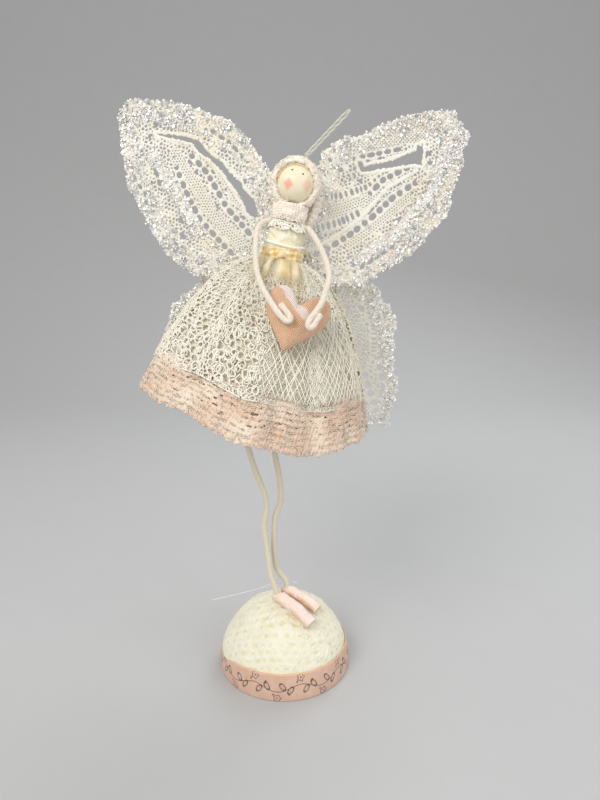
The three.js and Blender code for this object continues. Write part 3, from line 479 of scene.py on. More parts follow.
def place_mesh(name, points, faces, finish, shade=0.6, tint=None, ink=None, body="doll"):
    """A cloth or cord mesh from points in millimetres in the shared frame."""
    mesh = bpy.data.meshes.new(name)
    faces = faces if isinstance(faces, list) else faces.tolist()
    mesh.from_pydata((np.asarray(points).reshape(-1, 3) * MM).tolist(), [], faces)
    mesh.update()
    for label, values in (("shade", shade), ("tint", tint), ("ink", ink)):
        if values is None:
            continue
        layer = mesh.attributes.new(label, "FLOAT", "POINT")
        full = np.broadcast_to(np.ravel(values).astype(np.float32), (len(mesh.vertices),))
        layer.data.foreach_set("value", np.ascontiguousarray(full, np.float32))
    mesh.polygons.foreach_set("use_smooth", np.ones(len(mesh.polygons), bool))
    piece = bpy.data.objects.new(name, mesh)
    bpy.context.scene.collection.objects.link(piece)
    mesh.materials.append(FINISH[finish])
    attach(piece, body)
    return piece


def solidify(piece, thickness, offset=0.0):
    """Gives a sheet its thickness and applies it."""
    make_active(piece)
    wall = piece.modifiers.new("wall", "SOLIDIFY")
    wall.thickness = thickness * MM
    wall.offset = offset
    wall.use_even_offset = False
    bpy.ops.object.modifier_apply(modifier="wall")


def merge_close(piece, distance):
    """Joins the points of a piece that lie within a distance in millimetres."""
    make_active(piece)
    bpy.ops.object.mode_set(mode="EDIT")
    bpy.ops.mesh.select_all(action="SELECT")
    bpy.ops.mesh.remove_doubles(threshold=distance * MM)
    bpy.ops.mesh.normals_make_consistent(inside=False)
    bpy.ops.object.mode_set(mode="OBJECT")


def quads(rows, columns, wrap=False):
    """Faces of a grid of points, row after row; wrap joins the last column to the first."""
    row, column = lattice(np.arange(rows - 1), np.arange(columns if wrap else columns - 1))
    following = (column + 1) % columns
    a, b = row * columns + column, row * columns + following
    return np.stack([a, b, b + columns, a + columns], -1).reshape(-1, 4)


def capped(faces, count, sides):
    """Faces of a wrapped grid of count points, and the two faces that close its ends."""
    return faces.tolist() + [list(range(sides))[::-1], list(range(count - sides, count))]


def tube(route, radius, sides, closed=False):
    """A tube round a line of points, with closed ends: its points and faces."""
    route = np.asarray(route, float)
    ahead = np.roll(route, -1, 0) - np.roll(route, 1, 0)
    if not closed:
        ahead[0], ahead[-1] = route[1] - route[0], route[-1] - route[-2]
    ahead = unit(ahead)
    side = np.cross(ahead[0], (0.3, 0.2, 1.0))
    if np.linalg.norm(side) < 0.1:
        side = np.cross(ahead[0], (1.0, 0.2, 0.3))
    sides_of = []
    for direction in ahead:
        side = side - direction * side.dot(direction)
        side /= np.linalg.norm(side)
        sides_of.append(side)
    sides_of = np.array(sides_of)
    up = np.cross(ahead, sides_of)
    angle = angles(sides)
    reach = np.broadcast_to(np.asarray(radius, float).reshape(-1, 1, 1), (len(route), 1, 1))
    round_about = (
        np.cos(angle)[None, :, None] * sides_of[:, None]
        + np.sin(angle)[None, :, None] * up[:, None]
    )
    points = route[:, None] + reach * round_about
    faces = quads(len(route), sides, True)
    if closed:
        last = (len(route) - 1) * sides
        j = np.arange(sides)
        k = (j + 1) % sides
        faces = np.vstack([faces, np.stack([last + j, last + k, k, j], -1)])
        return points.reshape(-1, 3), faces.tolist()
    return points.reshape(-1, 3), capped(faces, len(route) * sides, sides)


def smooth_route(points, count):
    """Evenly spaced points on a smooth curve through the given ones."""
    p = np.asarray(points, float)
    p = np.vstack([2 * p[0] - p[1], p, 2 * p[-1] - p[-2]])
    curve = []
    for i in range(1, len(p) - 2):
        t = np.linspace(0, 1, 24, endpoint=False)[:, None]
        a, b, c, d = p[i - 1], p[i], p[i + 1], p[i + 2]
        curve.append(
            0.5 * (2 * b + (c - a) * t + (2 * a - 5 * b + 4 * c - d) * t**2
                   + (3 * b - a - 3 * c + d) * t**3)
        )
    curve = np.vstack(curve + [p[-2][None]])
    run = run_along(curve)
    at = np.linspace(0, run[-1], count)
    return np.stack([np.interp(at, run, curve[:, axis]) for axis in range(3)], -1)


def gather(parts):
    """Several meshes as one: points, faces and one value a part, spread over its points."""
    points, faces, values, base = [], [], [], 0
    for some_points, some_faces, value in parts:
        points.append(some_points)
        faces.extend([[i + base for i in face] for face in some_faces])
        values.append(np.full(len(some_points), value))
        base += len(some_points)
    return np.vstack(points), faces, np.concatenate(values)


def loops(route, normals, radius, sides):
    """Many closed rings of yarn at once. route is rings x stations x 3."""
    rings, stations = route.shape[:2]
    ahead = unit(np.roll(route, -1, 1) - np.roll(route, 1, 1))
    side = unit(np.cross(ahead, normals))
    up = np.cross(side, ahead)
    angle = angles(sides)
    reach = np.broadcast_to(np.asarray(radius, float), (rings,))[:, None, None, None]
    points = route[:, :, None] + reach * (
        np.cos(angle)[None, None, :, None] * side[:, :, None]
        + np.sin(angle)[None, None, :, None] * up[:, :, None]
    )
    ring, station, k = lattice(np.arange(rings), np.arange(stations), np.arange(sides))
    base = ring * stations * sides
    after, beside = (station + 1) % stations, (k + 1) % sides
    here, there = base + station * sides, base + after * sides
    faces = np.stack([here + k, there + k, there + beside, here + beside], -1).reshape(-1, 4)
    # painted shade: each ring is lighter on its outer side and darker on the side toward the cloth
    # beneath it
    shade = np.broadcast_to(0.5 + 0.5 * np.sin(angle), (rings, stations, sides))
    return points.reshape(-1, 3), faces, shade.reshape(-1)


def fibres(roots, normals, length, width, spread, seed):
    """Short loose hairs that stand off a surface: thin three-face blades."""
    source = np.random.default_rng(seed)
    count = len(roots)
    lean = unit(normals + spread * source.normal(size=(count, 3)))
    bend = unit(lean + 0.7 * source.normal(size=(count, 3)))
    reach = length * source.uniform(0.4, 1.0, (count, 1))
    side = unit(np.cross(lean, source.normal(size=(count, 3)))) * width / 2
    middle = roots + lean * reach * 0.5
    tip = middle + bend * reach * 0.5
    points = np.stack(
        [roots + side, roots - side, middle - side * 0.8, middle + side * 0.8, tip], 1
    )
    base = np.arange(count)[:, None] * 5
    faces = (base + [0, 1, 2, 3]).tolist() + (base + [3, 2, 4]).tolist()
    return points.reshape(-1, 3), faces


def fluff(name, roots, normals, blade, finish, shade, tint=None):
    """Loose hairs as a piece. blade is their length, width, spread and seed."""
    points, faces = fibres(roots, normals, *blade)
    place_mesh(name, points, faces, finish, shade, tint)


def curly_pile(name, roots, normals, count, seed):
    """Small loops of yarn that stand up from knitted cloth."""
    source = np.random.default_rng(seed)
    picked = source.integers(0, len(roots), count)
    t = angles(RING)
    normal = normals[picked][:, None]
    side = unit(np.cross(normal, source.normal(size=(count, 1, 3))))
    across = np.cross(normal, side)
    size = source.uniform(0.45, 1.0, count)[:, None, None]
    lift = 0.25 + 0.5 * np.sin(t)[None, :, None] * source.uniform(0.2, 1, (count, 1, 1))
    route = roots[picked][:, None] + size * (
        np.cos(t)[None, :, None] * side + np.sin(t)[None, :, None] * across
    ) + normal * lift
    points, faces, shade = loops(route, normal, 0.2, 4)
    place_mesh(name, points, faces, "hood", 0.35 + 0.65 * shade)


def surface_normals(points, rows, columns, wrap=True):
    """Unit normals of a grid of points."""
    p = points.reshape(rows, columns, 3)
    down = np.gradient(p, axis=0)
    if wrap:
        across = np.roll(p, -1, 1) - np.roll(p, 1, 1)
    else:
        across = np.gradient(p, axis=1)
    return unit(np.cross(across, down)).reshape(-1, 3)


# ---- Patterns ----


def cut_sheet(values, first, second):
    """The part of a grid where values are above 0, with its edge on the zero line.

    Returns (first, second) for each point, the faces, and each point's height above zero."""
    rows, columns = values.shape
    grid = np.stack(lattice(first, second), -1).reshape(-1, 2)
    level = values.reshape(-1)
    square = quads(rows, columns)
    odd = (np.arange(len(square)) + np.arange(len(square)) // (columns - 1)) % 2 == 1
    triangles = np.vstack(
        [
            square[odd][:, [0, 1, 2]], square[odd][:, [0, 2, 3]],
            square[~odd][:, [0, 1, 3]], square[~odd][:, [1, 2, 3]],
        ]
    )
    inside = level[triangles] > 0
    many = inside.sum(1)
    faces = [triangles[many == 3]]
    cuts = []

    def turned(rows_of, lone):
        """Triangles turned so that the corner that differs comes first."""
        first_at = np.argmax(inside[rows_of] == lone, 1)
        order = (first_at[:, None] + np.arange(3)) % 3
        return np.take_along_axis(triangles[rows_of], order, 1)

    for lone, rows_of in ((True, many == 1), (False, many == 2)):
        cuts.append(turned(rows_of, lone))
    edges = np.vstack(
        [cuts[0][:, [0, 1]], cuts[0][:, [0, 2]], cuts[1][:, [0, 1]], cuts[1][:, [0, 2]]]
    )
    low, high = edges.min(1), edges.max(1)
    keys, where = np.unique(low * len(level) + high, return_inverse=True)
    low, high = keys // len(level), keys % len(level)
    share = np.clip(level[low] / (level[low] - level[high]), 0.06, 0.94)[:, None]
    added = grid[low] * (1 - share) + grid[high] * share
    where = where.reshape(-1) + len(level)
    one, two = len(cuts[0]), len(cuts[1])
    ab, ac = where[:one], where[one:2 * one]
    faces.append(np.stack([cuts[0][:, 0], ab, ac], -1))
    ab, ac = where[2 * one:2 * one + two], where[2 * one + two:]
    b, c = cuts[1][:, 1], cuts[1][:, 2]
    faces.append(np.stack([ab, b, c], -1))
    faces.append(np.stack([ab, c, ac], -1))
    faces = np.vstack(faces)
    used, compact = np.unique(faces, return_inverse=True)
    points = np.vstack([grid, added])[used]
    height = np.concatenate([np.maximum(level, 0), np.zeros(len(added))])[used]
    return points, compact.reshape(-1, 3), height


def cells(x, y, pitch_x, pitch_y, stray, seed):
    """Distances to the nearest and second nearest of a strayed honeycomb of centres."""
    source = np.random.default_rng(seed)
    stray_x = source.uniform(-stray, stray, (TILES, TILES))
    stray_y = source.uniform(-stray, stray, (TILES, TILES))
    worth = source.uniform(0, 1, (TILES, TILES))
    row = np.round(y / pitch_y).astype(int)
    nearest = np.full(x.shape, 1e9)
    second = np.full(x.shape, 1e9)
    mark = np.zeros(x.shape)
    for step_row in (-1, 0, 1):
        r = row + step_row
        shift = 0.5 * (r % 2)
        column = np.round(x / pitch_x - shift).astype(int)
        for step_column in (-1, 0, 1):
            c = column + step_column
            at = r % TILES, c % TILES
            centre_x = (c + shift + stray_x[at]) * pitch_x
            centre_y = (r + stray_y[at]) * pitch_y
            away = np.hypot(x - centre_x, (y - centre_y) * pitch_x / pitch_y * 0.87)
            closer = away < nearest
            second = np.where(closer, nearest, np.minimum(second, away))
            mark = np.where(closer, worth[at], mark)
            nearest = np.where(closer, away, nearest)
    return nearest, second, mark


def holes(x, y, pitch_x, pitch_y, bar, roundness, stray, seed):
    """Above 0 on the threads of a net whose rounded holes are bar millimetres apart."""
    nearest, second, mark = cells(x, y, pitch_x, pitch_y, stray, seed)
    wall = bar / 2 - (second - nearest) / 2
    corner = nearest - roundness * pitch_x
    return np.maximum(wall, corner), mark


def outline_distance(x, y, outline):
    """Distance inside an outline, below 0 outside it."""
    a = np.asarray(outline, float)
    b = np.roll(a, -1, 0)
    least = np.full(x.shape, 1e9)
    inside = np.zeros(x.shape, bool)
    for (ax, ay), (bx, by) in zip(a, b):
        run_x, run_y = bx - ax, by - ay
        share = np.clip(
            ((x - ax) * run_x + (y - ay) * run_y) / (run_x**2 + run_y**2), 0, 1
        )
        least = np.minimum(least, np.hypot(x - ax - share * run_x, y - ay - share * run_y))
        crosses = (ay > y) != (by > y)
        with np.errstate(divide="ignore", invalid="ignore"):
            inside ^= crosses & (x < ax + (y - ay) * run_x / (by - ay))
    return np.where(inside, least, -least)


def line_distance(x, y, line):
    """Distance to a bent line, and how far along it the nearest point is."""
    least = np.full(x.shape, 1e9)
    along = np.zeros(x.shape)
    done = 0.0
    for (ax, ay), (bx, by) in zip(line[:-1], line[1:]):
        run_x, run_y = bx - ax, by - ay
        length = math.hypot(run_x, run_y)
        share = np.clip(((x - ax) * run_x + (y - ay) * run_y) / length**2, 0, 1)
        away = np.hypot(x - ax - share * run_x, y - ay - share * run_y)
        along = np.where(away < least, done + share * length, along)
        least = np.minimum(least, away)
        done += length
    return least, along


def enclosed_area(outline):
    """Area inside a closed outline, from its corners."""
    x, y = outline.T
    return float(abs(x @ np.roll(y, -1) - y @ np.roll(x, -1)) / 2)


def soft_noise(x, y, size, seed):
    """Smooth random heights from -1 to 1 with bumps about size wide."""
    source = np.random.default_rng(seed)
    table = source.uniform(-1, 1, (TABLE, TABLE))
    u, v = x / size, y / size
    i, j = np.floor(u).astype(int), np.floor(v).astype(int)
    fu, fv = eased(u - i), eased(v - j)
    corner = lambda di, dj: table[(i + di) % TABLE, (j + dj) % TABLE]
    low = corner(0, 0) * (1 - fu) + corner(1, 0) * fu
    high = corner(0, 1) * (1 - fu) + corner(1, 1) * fu
    return low * (1 - fv) + high * fv


# ---- Camera, floor and light ----


def set_stage():
    scene = bpy.context.scene
    scene.view_settings.view_transform = "Standard"
    camera = bpy.data.cameras.new("camera")
    camera.lens = 27
    camera.sensor_width = 36
    camera.clip_start, camera.clip_end = 0.01, 20
    holder = bpy.data.objects.new("camera", camera)
    holder.location = (9.57 * MM, -340 * MM, 243.5 * MM)
    holder.rotation_euler = (math.radians(90 - 12.4), 0, 0)
    scene.collection.objects.link(holder)
    scene.camera = holder

    world = bpy.data.worlds.new("studio")
    scene.world = world
    world.use_nodes = True
    sky = world.node_tree.nodes["Background"]
    sky.inputs["Color"].default_value = (1.0, 0.985, 0.96, 1)
    sky.inputs["Strength"].default_value = 0.60

    bpy.ops.mesh.primitive_grid_add(x_subdivisions=2, y_subdivisions=90, size=7)
    floor = bpy.context.object
    floor.name = "floor"
    start, bend = 0.7, 0.9
    for vertex in floor.data.vertices:
        past = vertex.co.y - start
        if past > 0:
            turn = min(past / bend, math.pi / 2)
            vertex.co.y = start + bend * math.sin(turn)
            vertex.co.z = bend * (1 - math.cos(turn)) + max(0, past - bend * math.pi / 2)
    floor.data.polygons.foreach_set("use_smooth", [True] * len(floor.data.polygons))
    ground = Finish("pale floor", paint(0.74, 0.745, 0.75), 0.8)
    fine = ground.noise(40.0)
    ground.set(base_color=ground.mix(fine, paint(0.735, 0.74, 0.745), paint(0.75, 0.755, 0.76)))
    floor.data.materials.append(ground.material)
    floor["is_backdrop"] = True

    def lamp(name, place, target, size, power, colour):
        data = bpy.data.lights.new(name, "AREA")
        data.shape = "RECTANGLE"
        data.size, data.size_y = size
        data.energy = power
        data.color = colour
        light = bpy.data.objects.new(name, data)
        light.location = place
        aim = Vector(target) - Vector(place)
        light.rotation_euler = aim.to_track_quat("-Z", "Y").to_euler()
        scene.collection.objects.link(light)

    middle = (0, 0, 0.2)
    lamp("key", (-0.55, -0.85, 0.95), middle, (0.7, 0.7), 9.3, (1.0, 0.98, 0.95))
    lamp("fill", (0.9, -0.6, 0.45), middle, (0.9, 0.9), 3.3, (0.97, 0.98, 1.0))
    lamp("rim", (0.35, 0.65, 0.9), middle, (0.6, 0.6), 4.1, (0.98, 0.99, 1.0))


# ---- Base ----


def make_cover():
    """Knitted lace drawn over the ball: rows of sunk oval meshes in a soft ground."""
    rings, columns = 150, 420
    polar = np.linspace(0.004, 1.0, rings) * math.radians(90)
    around = angles(columns)
    a, b = lattice(polar, around)
    arc = a * COVER_RADIUS
    flat_x, flat_y = arc * np.cos(b), arc * np.sin(b)
    x = flat_x + 2.4 * soft_noise(flat_x + 90, flat_y + 90, 17, 21)
    y = flat_y + 2.6 * soft_noise(flat_x + 90, flat_y + 90, 15, 22) - 0.006 * flat_x**2
    grain = lambda size, seed: soft_noise(x + 90, y + 90, size, seed)
    pitch, row = 6.6, 5.2
    r = np.round(y / row)
    local_y = y - r * row
    c = np.round(x / pitch - 0.5 * (r % 2))
    local_x = x - (c + 0.5 * (r % 2)) * pitch
    at = r.astype(int) % TILES, c.astype(int) % TILES
    source = np.random.default_rng(4)
    grow = source.uniform(0.55, 1.12, (TILES, TILES))[at]
    faint = source.uniform(0.25, 1.0, (TILES, TILES))[at]
    oval = 1 - np.hypot(local_x / (2.5 * grow), local_y / (1.45 * grow))
    oval = oval + 0.28 * grain(1.1, 23)
    sunk = np.clip(oval * 1.8, 0, 1)
    sunk = eased(sunk) * faint
    strands = 0.5 + 0.5 * np.sin(local_x * 2.6 + 2.0 * grain(3, 24))
    rope = np.exp(-(((np.abs(local_y) - 2.1) / 0.6) ** 2))
    relief = 0.14 * strands * (1 - sunk) + 0.18 * rope - 0.5 * sunk
    relief += 0.28 * grain(1.4, 25)
    relief += 0.14 * grain(0.6, 26) + 0.35 * grain(6, 27)
    puff_at = math.radians(193)
    puff = np.exp(-(((b - puff_at) % TURN) / 0.30) ** 2)
    puff += np.exp(-(((puff_at - b) % TURN) / 0.35) ** 2)
    level = COVER_RADIUS * np.cos(a)
    puff = np.clip(puff, 0, 1) * np.exp(-(((level - 14) / 6.5) ** 2))
    relief = relief * (0.25 + 0.75 * np.clip((level - 13.0) / 3.0, 0, 1))
    direction = np.stack([np.sin(a) * np.cos(b), np.sin(a) * np.sin(b), np.cos(a)], -1)
    points = direction * (COVER_RADIUS + 0.1 + relief + 1.2 * puff)[..., None]
    points = (points + (0, 0, BALL_CENTRE)).reshape(-1, 3)
    low = np.stack([COVER_RADIUS * np.cos(around), COVER_RADIUS * np.sin(around),
                    np.full(columns, 0.4)], -1)
    points = np.vstack([points, low])
    faces = quads(rings + 1, columns, True)[:, ::-1]
    faces = faces.tolist() + [list(range(columns))]
    shade = np.concatenate([(0.72 + 0.8 * relief).reshape(-1), np.full(columns, 0.5)])
    tint = np.concatenate([(sunk * 0.75).reshape(-1), np.zeros(columns)])
    cover = place_mesh("cover_lace", points, faces, "cover", shade, tint)
    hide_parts("base_cover")
    normals = direction.reshape(-1, 3)
    picked = np.random.default_rng(5).integers(0, len(normals), 7000)
    blade = (1.7, 0.07, 1.3, 6)
    fluff("cover_fluff", points[picked], normals[picked], blade, "cover", 0.8)


def ribbon_ink(u, v):
    """Printed motifs along the ribbon: one running vine with leaves, blossoms and berries."""
    length = u.max()
    turns = max(1, round(length / 27.0))
    pitch = length / turns
    middle = RIBBON_HEIGHT / 2

    def stroke(distance, width):
        return np.clip((width - distance) / 0.2, 0, 1)

    def vine(x):
        return middle + 1.9 * np.sin(2 * math.pi * x / pitch)

    ink = stroke(np.abs(v - vine(u)), 0.3)
    for step in range(turns * 6):
        place = (step + 0.5) * pitch / 6
        side = 1 if step % 2 else -1
        x, y = u - place, v - vine(place)
        if step % 3 == 1:
            y = y - side * 3.9
            away, angle = np.hypot(x, y), np.arctan2(y, x)
            petals = 1.35 + 0.85 * np.abs(np.cos(2.5 * angle))
            mark = np.maximum(stroke(np.abs(away - petals), 0.34), stroke(away, 0.6))
        else:
            x, y = x * 0.8 + side * y * 0.6, y * 0.8 - side * x * 0.6
            leaf = np.hypot(x / 1.25, (y - side * 2.5) / 2.3)
            vein = stroke(np.abs(x), 0.16) * (leaf < 0.8)
            mark = np.maximum(stroke(np.abs(leaf - 1) * 1.3, 0.36), vein)
            berry = np.hypot(u - place - pitch / 12, v - vine(place) + side * 2.6)
            mark = np.maximum(mark, stroke(berry, 0.62))
        ink = np.maximum(ink, mark)
    return ink


def make_ribbon():
    """Printed ribbon round the foot of the base, its top edge a little wavy."""
    columns, rows = 710, 40
    around = angles(columns)
    up = np.linspace(0.25, RIBBON_HEIGHT, rows)
    v, angle = lattice(up, around)
    share = v / RIBBON_HEIGHT
    lean = 2.1 * np.clip((share - 0.3) / 0.7, 0, 1) ** 1.4
    wave = 0.35 * soft_noise(angle * 14, share * 2, 1.5, 31) * share
    dip = np.exp(-(((angle - math.radians(196)) / 0.42) ** 2))
    radius = RIBBON_INNER + 0.35 - lean * (1 - 0.5 * dip) + wave
    height = v + 0.45 * soft_noise(angle * 9, share * 0, 1.3, 32) * share**2
    height = height - 4.6 * dip * share**3
    points = np.stack([radius * np.cos(angle), radius * np.sin(angle), height], -1)
    start = math.radians(-165)
    along = ((angle - start) % TURN) * RIBBON_INNER
    ink = ribbon_ink(along, v)
    edge = np.clip((share - 0.93) / 0.05, 0, 1)
    ribbon = place_mesh(
        "ribbon_band", points, quads(rows, columns, True), "ribbon",
        0.6, edge, ink * (1 - edge),
    )
    solidify(ribbon, 0.35)
    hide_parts("base_ribbon")


# ---- Shoes and legs ----

SHOES = {
    "left": {"ankle": (-4.2, -4.7), "radius": 3.9, "length": 31.0, "turn": -41.0},
    "right": {"ankle": (0.8, 2.2), "radius": 3.3, "length": 27.0, "turn": -31.0},
}
LEG_SWAY = 25.0
HIP_HEIGHT = 239.0
ANKLE_RISE = 9.3
LEG_SHARES = {
    "left": [
        (-0.33, -0.18, 0.052), (-0.41, -0.12, 0.137), (-0.48, -0.08, 0.214),
        (-0.42, -0.06, 0.276), (-0.46, -0.05, 0.32), (-0.68, -0.04, 0.40),
        (-0.83, -0.04, 0.472), (-0.96, -0.04, 0.568), (-0.92, -0.04, 0.70), (-0.60, 0, 0.858),
    ],
    "right": [
        (-0.20, 0.10, 0.052), (-0.256, 0.10, 0.118), (-0.25, 0.10, 0.175), (-0.224, 0.09, 0.232),
        (-0.11, 0.08, 0.276), (-0.08, 0.06, 0.308), (-0.11, 0.05, 0.37), (-0.21, 0.04, 0.449),
        (-0.28, 0.04, 0.568), (-0.24, 0.04, 0.70), (-0.12, 0, 0.858),
    ],
}


def dome_direction(x, y):
    return unit(np.array([x, y, math.sqrt(COVER_RADIUS**2 - x * x - y * y)]))


def turned_about(vectors, axis, angle):
    """Vectors turned about an axis by angles, with Rodrigues' formula."""
    angle = np.asarray(angle)[..., None]
    return (
        vectors * np.cos(angle)
        + np.cross(axis, vectors) * np.sin(angle)
        + axis * (vectors @ axis)[..., None] * (1 - np.cos(angle))
    )


def make_shoe(side):
    """A rolled satin slipper that lies on the dome, with an open rolled toe."""
    facts = SHOES[side]
    ankle = dome_direction(*facts["ankle"])
    distance = COVER_RADIUS + 0.5 + facts["radius"]
    turn = math.radians(facts["turn"])
    heading = np.array([math.cos(turn), math.sin(turn), 0])
    axis = unit(np.cross(ankle, heading))
    r, length = facts["radius"], facts["length"] - 3.0
    heel = [(-3.2, 0.2), (-3.3, 0.9), (-3.1, 1.7), (-2.5, 2.35), (-1.2, 2.75), (0.6, 3.0),
            (2.5, 3.3)]
    body = [(t, r * (1 + 0.05 * math.sin(t * 0.5))) for t in np.linspace(4.0, length - 1.2, 34)]
    rim = [(length - 0.5, r * 1.04), (length, r * 1.02), (length + 0.15, r * 0.92),
           (length - 0.1, r * 0.80), (length - 0.8, r * 0.74)]
    inner = [(length - t, r * 0.72) for t in (2.0, 4.0, 7.0, 10.0)] + [(length - 10.2, 0.2)]
    profile = np.array(heel + body + rim + inner)
    sides = 28
    angle = angles(sides)
    travel = profile[:, 0]
    direction = turned_about(np.broadcast_to(ankle, (len(travel), 3)), axis, travel / distance)
    centre = direction * distance + (0, 0, BALL_CENTRE)
    t, a = lattice(travel, angle)
    outer = np.arange(len(profile)) < len(heel) + len(body) + 2
    crease = 0.16 * soft_noise(t * 1.3 + a * 1.2, a * 3.0, 2.2, 41) * outer[:, None]
    spiral = np.abs(((a / TURN + t / 16.0) % 1.0) - 0.5) * 2
    seam = -0.28 * np.exp(-((1 - spiral) / 0.10) ** 2) * outer[:, None]
    radius = profile[:, 1][:, None] + crease + seam
    points = centre[:, None] + radius[..., None] * (
        np.cos(a)[..., None] * direction[:, None] + np.sin(a)[..., None] * axis
    )
    points = points.reshape(-1, 3)
    faces = capped(quads(len(profile), sides, True), len(points), sides)
    # painted sheen: the top of the slipper, away from the dome, runs to the pale tint colour
    top = np.clip((np.cos(a) * 0.9 + 0.25 * soft_noise(t, a * 4, 2.0, 43)) * 1.1, 0, 0.55)
    tint = top * outer[:, None]
    shoe = place_mesh(f"slipper_{side}", points, faces, "shoe", tint=tint)
    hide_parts(f"shoe_{side}")


def leg_route(side):
    ankle = dome_direction(*SHOES[side]["ankle"])
    over = lambda rise: ankle * (COVER_RADIUS + rise) + (0, 0, BALL_CENTRE)
    top = over(ANKLE_RISE)
    hip = from_figure((-3.2 if side == "left" else 3.2, 0, -8.3))
    points = [over(0.3), top]
    for x, y, z in LEG_SHARES[side]:
        points.append((x * LEG_SWAY, y * LEG_SWAY, top[2] + z * (HIP_HEIGHT - top[2])))
    points.append(hip)
    return smooth_route(points, 300)


def leg_thickness(run):
    """The cord spreads a little where it enters the slipper."""
    return 1.72 + 0.4 * np.exp(-((run / 9.0) ** 2))


def round_cord(name, route, radius, node, seed, tint=0.0):
    """Soft cord with a faint lay of twisted strands and loose hairs."""
    run = run_along(route)
    sides = 14
    thick = radius * (1 + 0.035 * soft_noise(run, run * 0, 3.0, seed))
    points, faces = tube(route, thick, sides)
    centre = np.repeat(route, sides, axis=0)
    outward = unit(points - centre)
    turn = np.tile(angles(sides), len(route))
    lay = np.cos(3 * turn - np.repeat(run, sides) * 1.5)
    points = points + outward * (0.05 * lay)[:, None]
    shade = 0.62 + 0.16 * lay
    cord = place_mesh(name, points, faces, "cord", shade, tint)
    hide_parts(node)
    source = np.random.default_rng(seed)
    picked = source.integers(sides, len(points) - sides, int(run[-1] * 7))
    blade = (0.9, 0.05, 1.1, seed)
    fluff(name + "_fuzz", points[picked], outward[picked], blade, "cord", 0.8, tint)


def make_leg(side, seed):
    route = leg_route(side)
    thick = leg_thickness(run_along(route))
    round_cord(f"leg_{side}_yarn", route, thick, f"leg_{side}_cord", seed, 0.85)


def make_ankle_tie():
    """A stiff thread tied behind the ankles, with a short spare end at its knot."""
    shares = [(-1, 0.09, 0), (-0.66, 0.09, 0.34), (-0.33, 0.10, 0.68), (-0.16, 0.13, 0.86),
              (-0.03, 0.135, 0.93), (0.06, 0.13, 0.97), (0.16, 0.09, 1)]
    route = smooth_route([(x * 46, y * 46, 38 + z * 12) for x, y, z in shares], 90)
    points, faces = tube(route, 0.33, 8)
    tie = place_mesh("ankle_thread", points, faces, "thread")
    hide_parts("ankle_tie")
    spare = smooth_route([(-14.5, 4.5, 45.6), (-8.0, 5.8, 49.5), (-3.5, 6.2, 52.6)], 30)
    points, faces = tube(spare, 0.26, 6)
    end = place_mesh("ankle_spare_end", points, faces, "thread")


# ---- Torso, bodice and sash ----

TORSO_PROFILE = [
    (-8.0, 0.75), (0, 1), (9.0, 1), (13.5, 0.97), (16.9, 0.92), (20.25, 0.8), (22.5, 0.62),
]


def torso_width(height):
    return np.interp(height, [h for h, _ in TORSO_PROFILE], [w for _, w in TORSO_PROFILE])


def torso_point(angle, height, outward):
    share = torso_width(height)
    x = (TORSO_HALF[0] * share + outward) * np.cos(angle)
    y = (TORSO_HALF[1] * share + outward) * np.sin(angle)
    return from_figure(np.stack([x, y, np.broadcast_to(height, x.shape)], -1))


def make_torso():
    columns = 64
    steps = 48
    heights = np.concatenate([[-8.0], np.linspace(-7.9, 22.4, steps), [22.5]])
    inset = np.concatenate([[-4.5], np.zeros(steps), [-2.0]])
    h, a = lattice(heights, angles(columns))
    outward = inset[:, None] + 0.12 * soft_noise(a * 4, h, 2.5, 51)
    points = torso_point(a, h, outward).reshape(-1, 3)
    faces = capped(quads(len(heights), columns, True), len(points), columns)
    torso = place_mesh("felt_body", points, faces, "felt")
    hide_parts("torso_core")


def make_bodice():
    """Cream satin twisted round the body."""
    columns, rows = 130, 72
    h, a = lattice(np.linspace(0.4, 22.4, rows), angles(columns))
    twist = a * 3 + h * 0.55 + 1.5 * soft_noise(a * 3, h * 0.5, 3.0, 52)
    upper = np.clip((h - 10) / 4, 0, 1)
    outward = 0.95 + upper * (0.42 * np.sin(twist * 2) + 0.25 * np.sin(twist * 5 + 1))
    outward += 0.30 * soft_noise(a * 6, h * 0.6, 1.5, 53)
    points = torso_point(a, h, outward)
    bodice = place_mesh("satin_bodice", points, quads(rows, columns, True), "bodice")
    solidify(bodice, 0.3, -1)
    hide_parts("bodice")


def make_piping():
    """Soft white piping round the body above the sash."""
    around = angles(120)
    line = torso_point(around, 8.9 + 0.5 * np.sin(around * 2 + 1), 1.35)
    piping, piping_faces = tube(line, 0.8 + 0.08 * np.sin(around * 30), 10, True)
    place_mesh("satin_piping", piping, piping_faces, "frill", 0.75)


def make_frill():
    """White loops of yarn round the neck of the bodice."""
    source = np.random.default_rng(54)
    count = 190
    where = source.uniform(0, TURN, count)
    level = source.uniform(18.2, 22.6, count)
    t = angles(RING)
    drop = source.uniform(1.1, 2.3, count)[:, None]
    wide = source.uniform(1.0, 1.9, count)[:, None] / 9.0
    ring_angle = where[:, None] + wide * np.cos(t)
    ring_height = level[:, None] - drop * np.sin(t)
    out = 1.5 + source.uniform(0, 1.1, count)[:, None] + 0.5 * np.sin(t)
    route = torso_point(ring_angle, ring_height, out)
    middle = torso_point(where, level, 0.0)
    outward = unit(torso_point(where, level, 2.0) - middle)[:, None]
    frill, frill_faces, shade = loops(route, outward, 0.36, 5)
    place_mesh("neck_frill", frill, frill_faces, "frill", 0.4 + 0.6 * shade)
    picked = source.integers(0, len(frill), 1400)
    lean = np.repeat(np.repeat(outward, RING, 1).reshape(-1, 3), 5, 0)[picked]
    fluff("neck_frill_fuzz", frill[picked], lean, (1.0, 0.07, 1.0, 55), "frill", 0.9)


